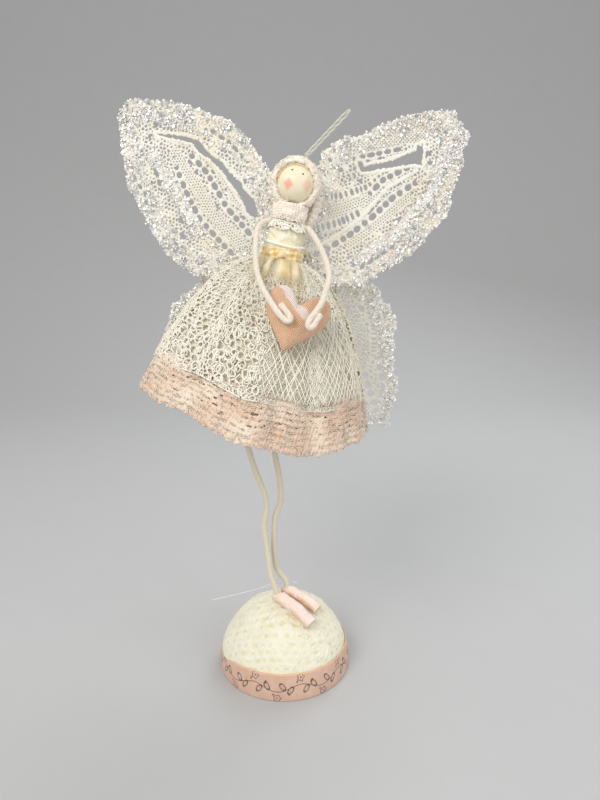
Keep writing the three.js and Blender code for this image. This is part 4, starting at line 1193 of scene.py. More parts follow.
def make_sash():
    """Amber ribbon wound round the waist in soft pleats."""
    columns, rows = 184, 40
    foot, top = 0.4, 7.4
    h, a = lattice(np.linspace(foot, top, rows), angles(columns))
    edge = np.clip(np.minimum(h - foot, top - h) / 0.8, 0, 1)
    pleats = 0.26 * np.sin(h * 1.9 + 1.8 * soft_noise(a * 4, h * 0.2, 1.5, 61))
    gathers = 0.22 * np.sin(a * 34 + 2.5 * soft_noise(a * 8, h * 0.2, 1.2, 66))
    outward = 1.55 + 0.4 * np.sqrt(edge) + (pleats + gathers) * edge
    outward += 0.2 * soft_noise(a * 6, h, 1.4, 62)
    lowered = h + 0.10 * TORSO_HALF[0] * np.cos(a) + 0.35 * soft_noise(a * 3, h * 0, 1.0, 67)
    band = torso_point(a, lowered, outward)
    streaks = np.clip(0.5 + 0.9 * soft_noise(a * 9, h * 0.25, 1.0, 68), 0, 1)
    sash = place_mesh(
        "amber_sash", band, quads(rows, columns, True), "sash", 0.6, streaks
    )
    solidify(sash, 0.3, -1)
    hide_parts("waist_sash")


def make_sash_knot():
    u, v = lattice(np.linspace(0, math.pi, 20), angles(28))
    swell = 1 + 0.16 * np.sin(3 * v + 2 * u) + 0.10 * soft_noise(u * 3, v * 3, 1.2, 63)
    knot = np.stack(
        [2.3 * np.sin(u) * np.cos(v) * swell, -9.2 - 1.5 * np.cos(u),
         3.4 + 1.9 * np.sin(u) * np.sin(v) * swell], -1,
    )
    place_mesh("sash_knot", from_figure(knot), quads(20, 28, True), "sash", 0.6, 0.35)


def make_sash_panel():
    """The sheer end of the sash that falls over the front of the skirt."""
    foot, steps = 0.40, 60
    f, c = lattice(np.linspace(0.02, foot, steps), np.linspace(-1, 1, steps))
    turn = 0.752 + c * (0.13 - 0.12 * f)
    lift = 1.5 + 1.2 * np.sin(f * 6) + 0.5 * np.sin(c * 13 + 2 * soft_noise(c * 3, f * 4, 1.0, 64))
    panel = from_figure(skirt_point(turn, f, -lift))
    streaks = np.clip(0.35 + 0.9 * soft_noise(c * 9 + 20, f * 5, 1.0, 65), 0, 1)
    cover = np.clip(0.62 + 0.5 * soft_noise(c * 7 + 20, f * 4, 1.0, 69), 0.15, 0.9)
    cover = cover * np.clip((1 - np.abs(c)) * 5, 0, 1) * np.clip((foot - f) / 0.12, 0, 1)
    veil = place_mesh(
        "sash_panel", panel, quads(steps, steps), "veil", 0.6, streaks, cover
    )


# ---- Skirt ----

SKIRT_CELLS = 96
NET_EXTRA = 1.5
BORDER_START = 0.858  # share of the fall at which the edging begins
EDGING_LENGTH, EDGING_DEPTH = 384.0, 21.0
PICOTS = 74
CHAIN = 2.5  # depth of a row of chain


def hem_lift(turn):
    count = len(HEM_LIFTS)
    along = (turn % 1.0) * count
    step = np.floor(along).astype(int)
    share = eased(along - step)
    table = np.array(HEM_LIFTS)
    return HEM_LIFT * (table[step % count] * (1 - share) + table[(step + 1) % count] * share)


def skirt_surface(turn, fall, extra=NET_EXTRA):
    """The skirt's outer surface in the doll's frame, as in the part, with finer folds.

    extra is the depth of the finer folds in millimetres."""
    angle = TURN * turn
    front = np.sin(angle) < 0
    reach = np.where(front, SKIRT_FRONT, SKIRT_BACK)
    spread = fall ** np.where(front, 1.2, 1.5)
    fold = FOLD * fall * (np.sin(7 * angle) + 0.5 * np.sin(3 * angle + 1)) / 1.5
    fold = fold + extra * fall**0.5 * (
        0.75 * np.sin(19 * angle + 1.5 * np.sin(2 * angle))
        + 0.45 * np.sin(31 * angle + 2.0 * np.sin(3 * angle))
    ) * (1 - 0.45 * fall)
    half_x = SKIRT_WAIST[0] + (SKIRT_HALF - SKIRT_WAIST[0]) * fall + fold
    half_y = SKIRT_WAIST[1] + (reach - SKIRT_WAIST[1]) * spread + fold
    sag = SKIRT_SAG * fall * np.maximum(0, -np.sin(angle))
    z = -(SKIRT_DROP + sag - hem_lift(turn)) * fall**2
    return np.stack([half_x * np.cos(angle), half_y * np.sin(angle), z], -1)


def skirt_normal(turn, fall):
    step = 0.004
    across = skirt_surface(turn + step, fall) - skirt_surface(turn - step, fall)
    down = skirt_surface(turn, np.minimum(1, fall + 0.02))
    down = down - skirt_surface(turn, np.maximum(0.0, fall - 0.02))
    return unit(np.cross(down, across))


def skirt_point(turn, fall, inset):
    """A point of the skirt in the doll's frame, inset below its surface."""
    turn, fall = np.broadcast_arrays(turn, fall)
    inset = np.broadcast_to(np.asarray(inset, float), turn.shape)
    return skirt_surface(turn, fall) - skirt_normal(turn, fall) * inset[..., None]


def slope_run():
    """Falls and the length of cloth from the waist down to each, at the front left."""
    fall = np.linspace(0, 1, 200)
    return fall, run_along(skirt_surface(np.full(200, 0.6), fall, 0))


def is_tulle(turn, fall):
    """Where the finer net shows, at the front right."""
    return (turn > 0.755) & (turn < 0.965) & (fall > 0.44 + 1.2 * np.abs(turn - 0.85))


def net_rows():
    fall, run = slope_run()
    rows, at = [], 1.2
    while at < run[-1] * 0.87:
        rows.append(float(np.interp(at, run, fall)))
        at += 2.3 + 1.1 * min(1.0, at / run[-1] * 1.4)
    return rows


def squeeze(turn, fall):
    """Where the gathers crowd the meshes together."""
    return (turn + 0.0062 * np.sin(TURN * 11 * turn + 1) * (1 - 0.3 * fall)
            + 0.004 * np.sin(TURN * 7 * turn + 4))


def fold_rise(turn):
    return -0.8 * np.cos(TURN * 11 * turn + 1) - 0.4 * np.cos(TURN * 7 * turn + 4)


def fan_strands(source):
    """Two families of slanting threads that cross all over the finer net."""
    parts = []
    t = np.linspace(0, 1, 22)
    for slant in (-0.085, 0.085):
        for foot in np.arange(0.70, 1.03, 0.0085):
            bend = source.uniform(-0.006, 0.006)
            turn = foot + source.uniform(-0.002, 0.002) + slant * (1 - t)
            turn = turn + bend * np.sin(t * math.pi) + 0.001 * np.sin(t * 25 + foot * 400)
            fall = 0.46 + 0.405 * t
            kept = is_tulle(turn, fall)
            if kept.sum() < 4:
                continue
            route = skirt_point(turn[kept], fall[kept], -1.1 - 0.4 * source.random(kept.sum()))
            points, faces = tube(route, source.uniform(0.17, 0.25), 5)
            parts.append((points, faces, source.uniform(0.85, 1.0)))
    return parts


def net_rings(source):
    """Turn, fall, half width, half height and kind of each ring of yarn in the net.

    Kind 0 is a mesh, 1 a stray ring beside it and 2 a small mesh of the finer net."""
    rows = net_rows()
    made = []
    for i, fall in enumerate(rows):
        gap_up = rows[i + 1] - fall if i + 1 < len(rows) else fall - rows[i - 1]
        for j in range(SKIRT_CELLS):
            turn = (j + 0.5 * (i % 2) + source.uniform(-0.22, 0.22)) / SKIRT_CELLS
            here = fall + source.uniform(-0.22, 0.22) * gap_up
            if is_tulle(np.array(turn % 1.0), np.array(here)):
                for du, dv in ((-0.25, -0.25), (0.25, -0.25), (-0.25, 0.25), (0.25, 0.25), (0, 0)):
                    made.append((turn + du / SKIRT_CELLS, here + dv * gap_up,
                                 0.32 / SKIRT_CELLS, 0.30 * gap_up, 2))
                continue
            size = source.uniform(0.40, 0.66)
            made.append((turn, here, size / SKIRT_CELLS, size * 1.1 * gap_up, 0))
            for _ in range(2 if fall < 0.12 else 1):
                if source.random() < 0.6:
                    made.append((turn + source.uniform(-0.4, 0.4) / SKIRT_CELLS,
                                 here + source.uniform(-0.4, 0.4) * gap_up,
                                 source.uniform(0.06, 0.45) / SKIRT_CELLS,
                                 source.uniform(0.2, 0.8) * gap_up, 1))
    return np.array(made).T


def make_skirt_net():
    """Rounded honeycomb meshes of soft yarn, gathered in to the waist."""
    source = np.random.default_rng(71)
    turns, falls, wide, high, kind = net_rings(source)
    falls = np.maximum(falls, 0.004)
    angle = angles(RING) + TURN / RING / 2
    lump = 1 + 0.18 * source.normal(size=(len(turns), RING))
    ring_turn = turns[:, None] + wide[:, None] * np.cos(angle) * lump
    ring_fall = np.clip(falls[:, None] + high[:, None] * np.sin(angle) * lump, 0.004, 0.885)
    pucker = 0.45 * soft_noise(ring_turn * TABLE * 0.6, ring_fall * 20, 1.6, 75)
    plump = np.clip(1 - ring_fall / 0.16, 0, 1) * source.uniform(0, 1.6, (len(turns), 1))
    rise = 0.15 + 0.5 * source.random(ring_turn.shape) + pucker + plump
    rise = np.maximum(rise + fold_rise(ring_turn) * np.clip(ring_fall * 3, 0, 1), -0.4)
    ring_turn = squeeze(ring_turn, ring_fall)
    route = skirt_point(ring_turn, ring_fall, -rise)
    normals = skirt_normal(ring_turn, ring_fall)
    around = np.linalg.norm(skirt_surface(turns, falls, 0)[:, :2], axis=1) * TURN
    radius = np.clip(around / SKIRT_CELLS * 0.18, 0.22, 0.56)
    radius = radius * source.uniform(0.7, 1.3, len(turns)) * np.where(kind == 1, 0.75, 1.0)
    radius = np.where(kind == 2, source.uniform(0.15, 0.24, len(turns)), radius)
    yellow = 0.6 * soft_noise(turns * TABLE, falls * 9, 6.0, 76) + 0.1
    tint = np.clip(yellow + np.clip(0.25 - falls, 0, 0.25) * 2.0, 0, 0.85)
    roots, leans = [], []
    for name, chosen in (("skirt_meshes", kind == 0), ("skirt_stray_yarn", kind > 0)):
        points, faces, shade = loops(route[chosen], normals[chosen], radius[chosen], 3)
        lean = np.repeat(normals[chosen].reshape(-1, 3), 3, 0)
        world = from_figure(points)
        roots.append(world)
        leans.append(unit(from_figure(points + lean) - world))
        net = place_mesh(
            name, world, faces, "net", 0.4 + 0.6 * shade, np.repeat(tint[chosen], RING * 3)
        )
        if name == "skirt_meshes":
            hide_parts("skirt_net")
    points, faces, shade = gather(fan_strands(source))
    place_mesh("skirt_fan_yarn", from_figure(points), faces, "net", shade)
    roots, leans = np.vstack(roots), np.vstack(leans)
    picked = source.integers(0, len(roots), 20000)
    fluff("skirt_fuzz", roots[picked], leans[picked], (1.8, 0.10, 1.4, 72), "net", 0.95)


def lining_shade(turn, fall):
    weave = soft_noise(turn * TABLE, fall * 20, 1.5, 74)
    # painted shade: dark spots in place of openings
    spots = np.clip((soft_noise(turn * TABLE, fall * 26, 1.0, 77) - 0.62) * 8, 0, 1)
    return 0.72 + 0.3 * weave - 0.95 * spots + np.where(is_tulle(turn, fall + 0.02), 0.35, 0)


def make_lining():
    """A light underlayer that shows between the meshes, with a few dark spots of painted shade
    that stand for openings.
    """
    columns, rows = 280, 58
    turn = np.arange(columns) / columns
    fall = np.linspace(0.035, 0.955, rows)
    f, t = lattice(fall, turn)
    inset = 1.2 + 1.3 * f + 0.5 * soft_noise(t * TABLE * 0.6, f * 14, 2.0, 73)
    points = from_figure(skirt_point(t, f, inset))
    tint = np.clip((f - 0.875) * 9, 0, 0.85)
    lining = place_mesh(
        "skirt_underlayer", points, quads(rows, columns, True), "lining",
        lining_shade(t, f), tint,
    )
    solidify(lining, 0.3, 1)
    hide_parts("skirt_lining")


def hem_ripple(turn, share):
    """The wave of the hem, a share of the way down the edging."""
    return 0.8 * np.sin(turn * TURN * 23 + 2 * np.sin(turn * TURN * 5)) * share**2


def make_edging_stitches(source):
    """Rings of yarn along the rows of chain, and larger ones as picots along the foot."""
    level, where = lattice(np.arange(8) * CHAIN + 0.9, np.arange(150) / 150)
    where = where + (level / CHAIN % 2) / 300 + source.uniform(-0.001, 0.001, where.shape)
    level = level + source.uniform(-0.5, 0.5, level.shape)
    where, level = where.ravel(), level.ravel()
    foot = (np.arange(PICOTS * 2) + source.uniform(-0.2, 0.2, PICOTS * 2)) / PICOTS / 2
    wide = np.concatenate([np.full(len(where), 1.15), source.uniform(0.9, 1.5, len(foot))])
    tall = np.concatenate(
        [source.uniform(0.45, 0.8, len(where)), source.uniform(1.0, 1.9, len(foot))]
    )
    where = np.concatenate([where, foot])
    level = np.concatenate([level, np.full(len(foot), EDGING_DEPTH - 0.3)])
    t = angles(RING)
    drop = level[:, None] + tall[:, None] * np.sin(t)
    spin = where[:, None] + (wide[:, None] * np.cos(t) + 0.5 * np.sin(t)) / EDGING_LENGTH
    ring_fall = BORDER_START + (1 - BORDER_START) * np.clip(drop / EDGING_DEPTH, 0, 1)
    lean = skirt_normal(spin, ring_fall)
    ripples = hem_ripple(spin, drop / EDGING_DEPTH)
    route = skirt_point(spin, ring_fall, 0.0) + lean * (ripples - 0.3)[..., None]
    route[..., 2] -= np.maximum(0, drop - EDGING_DEPTH) * 0.9
    stitches, stitch_faces, depth_shade = loops(route, lean, 0.33, 3)
    place_mesh("edging_stitches", from_figure(stitches), stitch_faces, "border",
               0.4 + 0.6 * depth_shade, np.repeat(source.uniform(0.1, 0.9, len(where)), RING * 3))


def make_border():
    """Peach crochet edging: rows of chain, slits between them, and picots at the foot."""
    columns, rows = 760, 50
    along = np.linspace(0, EDGING_LENGTH, columns)
    down = np.linspace(-1.6, EDGING_DEPTH + 2.4, rows)
    d, u = lattice(down, along)
    pitch = EDGING_LENGTH / PICOTS
    turn = u / EDGING_LENGTH
    wobble = 1.1 * soft_noise(turn * TABLE, d * 0.12, 1.6, 81)
    stray = 1.8 * soft_noise(turn * TABLE * 2, d * 0.4, 1.0, 86)
    row = np.floor((d + wobble) / CHAIN)
    in_row = (d + wobble) - row * CHAIN
    place = (u + stray) / pitch + (row % 2) * 0.5
    local = place % 1.0 - 0.5
    size = np.random.default_rng(87).uniform(0.15, 1.1, (TILES, TABLE))[
        row.astype(int) % TILES, np.floor(place).astype(int) % TABLE
    ]
    slit = np.hypot(local * pitch / (1.7 * size), (in_row - 1.5 + local) / (0.42 * size + 0.18))
    opening = np.where(size < 0.3, 1.0, slit - 1.0)
    scallop = EDGING_DEPTH + 0.2 + 1.8 * np.abs(np.cos(math.pi * u / pitch)) ** 0.8
    scallop = scallop + 0.9 * soft_noise(turn * TABLE * 3, d * 0, 1.0, 88)
    level = np.minimum(scallop - d, d + 1.0 + 0.6 * soft_noise(turn * TABLE * 2, d * 0, 1, 89))
    points, faces, _ = cut_sheet(np.minimum(level, opening), down, along)
    d, u = points[:, 0], points[:, 1]
    turn = u / EDGING_LENGTH
    fall = BORDER_START + (1 - BORDER_START) * d / EDGING_DEPTH
    wobble = 1.1 * soft_noise(turn * TABLE, d * 0.12, 1.6, 81)
    chain = np.cos(((d + wobble) / CHAIN) * TURN) * 0.5
    stitch = np.sin(u * TURN / (pitch / 3) + d * 1.3 + wobble * 2)
    noise = soft_noise(turn * TABLE * 4, d, 1.0, 82)
    coarse = soft_noise(turn * TABLE, d * 0.2, 1.4, 90)
    relief = 0.3 * chain + 0.2 * stitch + 0.45 * noise + 0.4 * coarse
    ripple = hem_ripple(turn, d / EDGING_DEPTH)
    clipped = np.minimum(fall, 1.0)
    normal = skirt_normal(turn, clipped)
    local = skirt_surface(turn, clipped)
    tucked = np.clip((d + 0.5) / 4.0, 0, 1)
    local = local + normal * ((relief - 0.3 + ripple) * tucked - 0.4 - 0.5 * (1 - tucked))[:, None]
    local[:, 2] -= np.maximum(0, fall - 1.0) * 110
    shade = np.clip(0.62 + 0.4 * chain + 0.25 * stitch + 0.4 * noise + 0.2 * coarse, 0, 1)
    pale = 0.4 * np.clip(np.sin(turn * TURN - 2.2), 0, 1)
    tint = np.clip(0.7 * soft_noise(turn * TABLE, d * 0.3, 2.5, 83) + 0.2 + pale, 0, 0.9)
    border = place_mesh(
        "skirt_edging", from_figure(local), faces, "border", shade, tint
    )
    solidify(border, 0.7)
    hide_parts("skirt_border")
    source = np.random.default_rng(84)
    make_edging_stitches(source)
    picked = source.integers(0, len(local), 11000)
    world = from_figure(local)[picked]
    outward = unit(from_figure(local + normal)[picked] - world)
    fluff("edging_fuzz", world, outward, (1.7, 0.10, 1.4, 85), "border", 0.95, 0.5)


# ---- Head, hair, hood and scarf ----


def make_head():
    """A turned bead: a fine sphere, bored through from below."""
    centre = from_figure((0, 0, HEAD_HEIGHT)) * MM
    bpy.ops.object.select_all(action="DESELECT")
    bpy.ops.mesh.primitive_uv_sphere_add(
        segments=96, ring_count=64, radius=HEAD_RADIUS * MM, location=tuple(centre),
        rotation=(0, LEAN, 0),
    )
    head = bpy.context.object
    head.name = "bead_head"
    head.data.name = "bead_head"
    bpy.ops.object.transform_apply(location=True, rotation=True, scale=True)
    up = Vector((math.sin(LEAN), 0, math.cos(LEAN)))
    for vertex in head.data.vertices:
        offset = vertex.co - Vector(centre)
        height = offset.dot(up)
        vertex.select = (offset - up * height).length < 1.6 * MM
    for edge in head.data.edges:
        edge.select = False
    for face in head.data.polygons:
        face.select = False
    bpy.ops.object.mode_set(mode="EDIT")
    bpy.ops.mesh.select_mode(type="VERT")
    bpy.ops.mesh.delete(type="VERT")
    bpy.ops.mesh.select_all(action="DESELECT")
    bpy.ops.mesh.select_non_manifold()
    bpy.ops.mesh.bridge_edge_loops()
    bpy.ops.mesh.select_all(action="SELECT")
    bpy.ops.mesh.normals_make_consistent(inside=False)
    bpy.ops.object.mode_set(mode="OBJECT")
    bpy.ops.object.shade_smooth_by_angle(angle=math.radians(40))
    head.data.materials.append(FINISH["head"])
    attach(head, "doll")
    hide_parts("head_bead")


def make_hair():
    """A thin roll of flax strands round the face, with a lighter lock on one side."""
    source = np.random.default_rng(91)
    parts = []
    for strand in range(24):
        first, last = (-44, 220) if strand < 12 else (56, 178)
        angle = np.linspace(math.radians(first), math.radians(last + source.uniform(-8, 8)), 60)
        low = 9.95 if strand < 12 else 9.45
        radius = low + source.uniform(0, 0.35) + 0.12 * np.sin(angle * source.uniform(3, 7))
        depth = -np.sqrt(11.3**2 - radius**2) - source.uniform(0, 0.15)
        ring = np.stack([radius * np.cos(angle), depth, radius * np.sin(angle)], -1)
        points, faces = tube(from_head(ring), 0.13, 5)
        parts.append((points, faces, source.uniform(0.5, 1.3)))
    points, faces, shade = gather(parts)
    hair = place_mesh("flax_hair", points, faces, "hair", shade)
    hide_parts("hair")


def make_hood_end():
    """The hood's loose end at one side: its points and the way out of it at each."""
    stations, sides = 60, 20
    line = smooth_route(
        [(13.0, 1.0, -3.5), (13.2, 2.0, -8.0), (12.6, 2.8, -12.5), (11.4, 3.2, -17.0),
         (10.4, 3.0, -20.5), (9.8, 2.6, -22.8)], stations,
    )
    share = np.linspace(0, 1, stations)
    end, end_faces = tube(line, 2.5 - 1.1 * share**2, sides)
    core = np.repeat(line, sides, axis=0)
    reach = np.repeat(share, sides) * 18
    turn = np.tile(angles(sides), stations)
    out = unit(end - core)
    lump = 0.3 * np.abs(np.sin(reach * 2.6)) + 0.45 * soft_noise(turn * 3, reach, 1.4, 99)
    end = end + out * lump[:, None]
    place_mesh("hood_end", from_head(end), end_faces, "hood", np.clip(0.5 + lump, 0, 1))
    return end, out


def make_hood():
    """Fine knitted hood, rolled at the face, with a fluffy pile."""
    columns, rows = 280, 110
    inner, outer, rim = 11.3, 13.1, -4.5
    profile = [(inner + 0.1, y) for y in np.linspace(6.0, rim + 0.6, 14)]
    for angle in np.linspace(-165, 10, 18):
        a = math.radians(angle)
        profile.append((inner + 1.6 * math.cos(a), rim - 0.1 + 1.5 * math.sin(a)))
    profile += [(outer, y) for y in np.linspace(rim + 2.2, 0, 8)]
    for angle in np.linspace(2, 89, 60):
        a = math.radians(angle)
        profile.append((outer * math.cos(a), outer * math.sin(a)))
    profile = np.array(profile)
    run = run_along(profile)
    at = np.linspace(0, run[-1], rows)
    r, y = (np.interp(at, run, profile[:, k]) for k in (0, 1))
    low = -np.arcsin(np.minimum(1, -SCARF_TOP / (1.05 * r)))
    s, share = lattice(at, np.linspace(0, 1, columns))
    low, rr, yy = (np.broadcast_to(line[:, None], s.shape) for line in (low, r, y))
    a = low + (math.pi - 2 * low) * share
    knit = np.abs(np.sin(a * 34 + 0.9 * np.abs(np.sin(s * 2.6))))
    knit = 0.6 * knit + 0.4 * np.abs(np.sin(s * 2.6))
    pile = 0.35 * soft_noise(a * 12 + 30, s, 1.1, 95) + 0.55 * soft_noise(a * 5 + 30, s, 3.0, 96)
    outside = np.clip((s - 9.5) / 2.5, 0, 1) * np.clip(rr / 3, 0, 1)
    waves = np.sin(a * 9 + 2 * soft_noise(a * 3, s * 0, 1, 94))
    hem = np.exp(-((s - 12) / 1.6) ** 2) * 0.35 * waves
    radius = rr + outside * (0.32 * knit + pile - 0.2)
    depth = yy - hem
    points = np.stack([radius * np.cos(a), depth, radius * np.sin(a) * 1.05], -1)
    points = from_head(points).reshape(-1, 3)
    shade = np.clip(0.4 + 0.5 * knit + 0.35 * pile, 0, 1)
    hood = place_mesh("knit_hood", points, quads(rows, columns)[:, ::-1], "hood", shade)
    merge_close(hood, 0.03)
    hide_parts("hood")

    end, out = make_hood_end()
    normals = -surface_normals(points, rows, columns, False)
    source = np.random.default_rng(97)
    picked = source.integers(columns * 18, len(points) - columns * 4, 9000)
    roots, lean = points[picked], normals[picked]
    tail = source.integers(0, len(end), 1500)
    tail_lean = from_head(end + out)[tail] - from_head(end)[tail]
    roots = np.vstack([roots, from_head(end)[tail]])
    lean = np.vstack([lean, tail_lean])
    curly_pile("hood_loops", roots, lean, 620, 100)
    fluff("hood_fluff", roots, lean, (1.8, 0.08, 1.0, 98), "hood", 0.95)


def make_scarf():
    """Ribbed knit ring below the chin, with a fringe of loose loops at its lower edge."""
    columns, rows = 272, 68
    profile = np.array([
        (7.4, -10.4), (8.7, -10.2), (9.3, -11.4), (9.4, -13.2), (9.2, -15.4), (8.8, -17.2),
        (8.0, -18.1), (7.1, -18.0), (6.5, -16.8), (6.4, -14.0), (6.6, -11.6), (7.4, -10.4),
    ])
    smooth = smooth_route(np.column_stack([profile, np.zeros(len(profile))]), rows)
    r, z = smooth[:, 0], smooth[:, 1]
    angle = angles(columns)
    rr, a = lattice(r, angle)
    zz = np.broadcast_to(z[:, None], rr.shape)
    outside = np.clip((rr - 7.8) / 0.8, 0, 1)
    rib = np.sqrt(np.abs(np.cos(a * 17 + 0.2 * np.sin(zz * 2)))) - 0.6
    stitch = np.abs(np.sin(zz * 2.4 + np.abs(np.sin(a * 17)))) - 0.5
    sag = 0.35 * soft_noise(a * 10, zz, 1.5, 101) + 0.5 * soft_noise(a * 3, zz * 0.5, 1.3, 104)
    radius = rr + outside * (0.6 * rib + 0.35 * stitch + sag)
    slump = 0.5 * np.sin(a * 3 + 1) * np.clip((-zz - 11) / 6, 0, 1)
    points = from_head(np.stack([radius * np.cos(a), radius * np.sin(a), zz + slump], -1))
    points = points.reshape(-1, 3)
    shade = np.clip(0.4 + 0.75 * rib + 0.45 * stitch, 0, 1)
    scarf = place_mesh(
        "rib_scarf", points, quads(rows, columns, True), "hood", shade, 0.35
    )
    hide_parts("scarf")
    source = np.random.default_rng(102)
    count = 64
    where = np.linspace(0, TURN, count, endpoint=False) + source.uniform(-0.04, 0.04, count)
    t = angles(RING)
    drop = source.uniform(0.8, 2.2, count)[:, None]
    ring_angle = where[:, None] + 0.07 * np.cos(t)
    ring_radius = 8.6 + source.uniform(-0.5, 0.5, count)[:, None] + 0.3 * np.sin(t)
    route = np.stack(
        [ring_radius * np.cos(ring_angle), ring_radius * np.sin(ring_angle),
         -17.6 - drop * (0.5 + 0.5 * np.sin(t))], -1,
    )
    outward = np.stack([np.cos(where), np.sin(where), 0 * where], -1)[:, None]
    fringe, fringe_faces, _ = loops(route, outward, 0.26, 5)
    place_mesh("scarf_fringe", from_head(fringe), fringe_faces, "hood", 0.9)
    normals = surface_normals(points, rows, columns)
    normals *= np.sign(((points - from_head((0, 0, -14))) * normals).sum(1))[:, None]
    picked = source.integers(0, len(points), 4200)
    blade = (1.1, 0.06, 0.9, 103)
    fluff("scarf_fluff", points[picked], normals[picked], blade, "hood", 0.9)


# ---- Hanging loop ----

LOOP_PIVOT = (3.3, 0.0, 57.23)
LOOP_RADIUS = 0.65
LOOP_REACH = 31
STRAND_APART = 0.72
ROOT_RADIUS = 1.05
LOOP_TILT = math.radians(34)


def make_loop():
    """Two waxed strands side by side, pinched together at the tip."""
    strand = lambda side: [
        (side * STRAND_APART, 0, share * LOOP_REACH) for share in (0.02, 0.3, 0.6, 0.9)
    ]
    line = strand(-1) + [(0, 0, LOOP_REACH)] + strand(1)[::-1]
    stations, sides = 160, 12
    local = smooth_route(line, stations)
    leaned = np.stack(
        [local[:, 0] * math.cos(LOOP_TILT) + local[:, 2] * math.sin(LOOP_TILT), local[:, 1],
         local[:, 2] * math.cos(LOOP_TILT) - local[:, 0] * math.sin(LOOP_TILT)], -1,
    )
    route = from_figure(leaned + LOOP_PIVOT)
    points, faces = tube(route, LOOP_RADIUS, sides)
    run = np.linspace(0, 2 * LOOP_REACH, stations)
    turn = np.tile(angles(sides), stations)
    lay = np.cos(2 * turn - np.repeat(run, sides) * 1.4)
    points = points + unit(points - np.repeat(route, sides, axis=0)) * (0.03 * lay)[:, None]
    loop = place_mesh(
        "hanging_strands", points, faces, "loop", 0.6 + 0.3 * lay, body="loop"
    )
    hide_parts("hanging_loop")


def make_loop_knot():
    """The knot on the crown, which turns with the strands."""
    u, v = lattice(np.linspace(0, math.pi, 14), angles(20))
    swell = 1 + 0.12 * np.sin(4 * v + 3 * u)
    ball = np.stack(
        [1.7 * np.sin(u) * np.cos(v) * swell, 1.15 * np.sin(u) * np.sin(v) * swell,
         1.15 * np.cos(u)], -1,
    )
    knot = place_mesh(
        "loop_knot", from_figure(ball + LOOP_PIVOT), quads(14, 20, True),
        "loop", 0.5, body="loop",
    )
    merge_close(knot, 0.01)


def make_loop_root():
    """The cord's root, which stays with the doll: from inside the knot down through the hood."""
    root = smooth_route([(0, 0, 0), (-0.4, 0.45, -2.0), (-0.8, 0.9, -4.2)], 14)
    points, faces = tube(from_figure(root + LOOP_PIVOT), ROOT_RADIUS, 12)
    place_mesh("loop_root", points, faces, "loop", 0.5)


# ---- Arms ----

ARM_REACH = 50.09
ARM_RADIUS = 1.5
ARM_SHARES = {
    "left": [
        (-0.185, -0.03, 0.408), (-0.222, -0.04, 0.396), (-0.28, -0.07, 0.352),
        (-0.308, -0.13, 0.28), (-0.29, -0.26, 0.13), (-0.244, -0.45, -0.04),
        (-0.19, -0.62, -0.166), (-0.118, -0.76, -0.27), (-0.028, -0.885, -0.364),
        (0.07, -0.965, -0.456), (0.15, -1.01, -0.518), (0.20, -1.03, -0.538),
        (0.22, -1.02, -0.502), (0.168, -0.98, -0.45), (0.10, -0.94, -0.40),
    ],
    "right": [
        (0.185, -0.03, 0.408), (0.225, -0.05, 0.396), (0.30, -0.14, 0.332),
        (0.42, -0.31, 0.18), (0.486, -0.48, 0.058), (0.524, -0.64, -0.066),
        (0.512, -0.76, -0.186), (0.49, -0.88, -0.312), (0.447, -0.965, -0.405),
        (0.412, -1.0, -0.465), (0.396, -1.03, -0.525), (0.42, -1.035, -0.556),
        (0.452, -1.025, -0.53), (0.474, -0.995, -0.472), (0.50, -0.965, -0.42),
    ],
}


def arm_route(side):
    return from_figure(smooth_route(np.array(ARM_SHARES[side]) * ARM_REACH, 160))


# ---- Heart ----

HEART_AT = (13.0, -41.65, -27.0)
HEART_LEAN = math.radians(28)
HEART_TURN = math.radians(-8)


def make_heart():
    """A stuffed cloth heart with a pinched seam and a blunt point."""
    columns, rows = 150, 34
    t = angles(columns)
    across = (0.65 * np.sin(t) ** 3 + 0.35 * np.sin(t)) * 16.5
    up = (13 * np.cos(t) - 5 * np.cos(2 * t) - 2 * np.cos(3 * t) - np.cos(4 * t) + 2.5) / 29 * 34

    def half(facing):
        share = np.linspace(0, 1, rows)
        ring, c = lattice(share, np.arange(columns))
        x, z = across[c] * ring, up[c] * ring
        crown = 5.6 * (1 - ring**2.2) ** 0.6
        pucker = 0.35 * np.sin(c * TURN / columns * 26) * np.clip((ring - 0.6) / 0.4, 0, 1) ** 2
        crease = 0.9 * soft_noise(x + 40, z + 40, 6.5, 111 + facing)
        crease += 0.35 * soft_noise(x + 40, z + 40, 2.6, 113)
        height = crown + (pucker + crease) * np.clip((1 - ring) * 3, 0, 1)
        return np.stack([x, facing * height, z], -1).reshape(-1, 3)

    points = np.vstack([half(-1), half(1)[:-columns]])
    front = quads(rows, columns, True)
    index = np.arange(rows * columns)
    index = np.where(index >= (rows - 1) * columns, index, index + rows * columns)
    faces = front.tolist() + index[front][:, ::-1].tolist()
    x, y, z = points.T
    # painted highlight: a diagonal streak across the upper front, which the cloth's finish turns
    # silvery
    sheen_streak = np.clip(1.1 - np.abs(z + 0.9 * x - 6.0) / 5.0, 0, 1) * (y < 0)
    sheen_streak = sheen_streak * np.clip((z + 3.0) / 5.0, 0, 1)
    turn, lean = -HEART_TURN, -HEART_LEAN
    x, z = x * math.cos(turn) + z * math.sin(turn), z * math.cos(turn) - x * math.sin(turn)
    y, z = y * math.cos(lean) - z * math.sin(lean), y * math.sin(lean) + z * math.cos(lean)
    placed = from_figure(np.stack([x, y, z], -1) + HEART_AT)
    heart = place_mesh("stuffed_heart", placed, faces, "heart", tint=sheen_streak)
    merge_close(heart, 0.02)
    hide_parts("heart_front", "heart_back", "heart_stuffing")


# ---- Wings ----

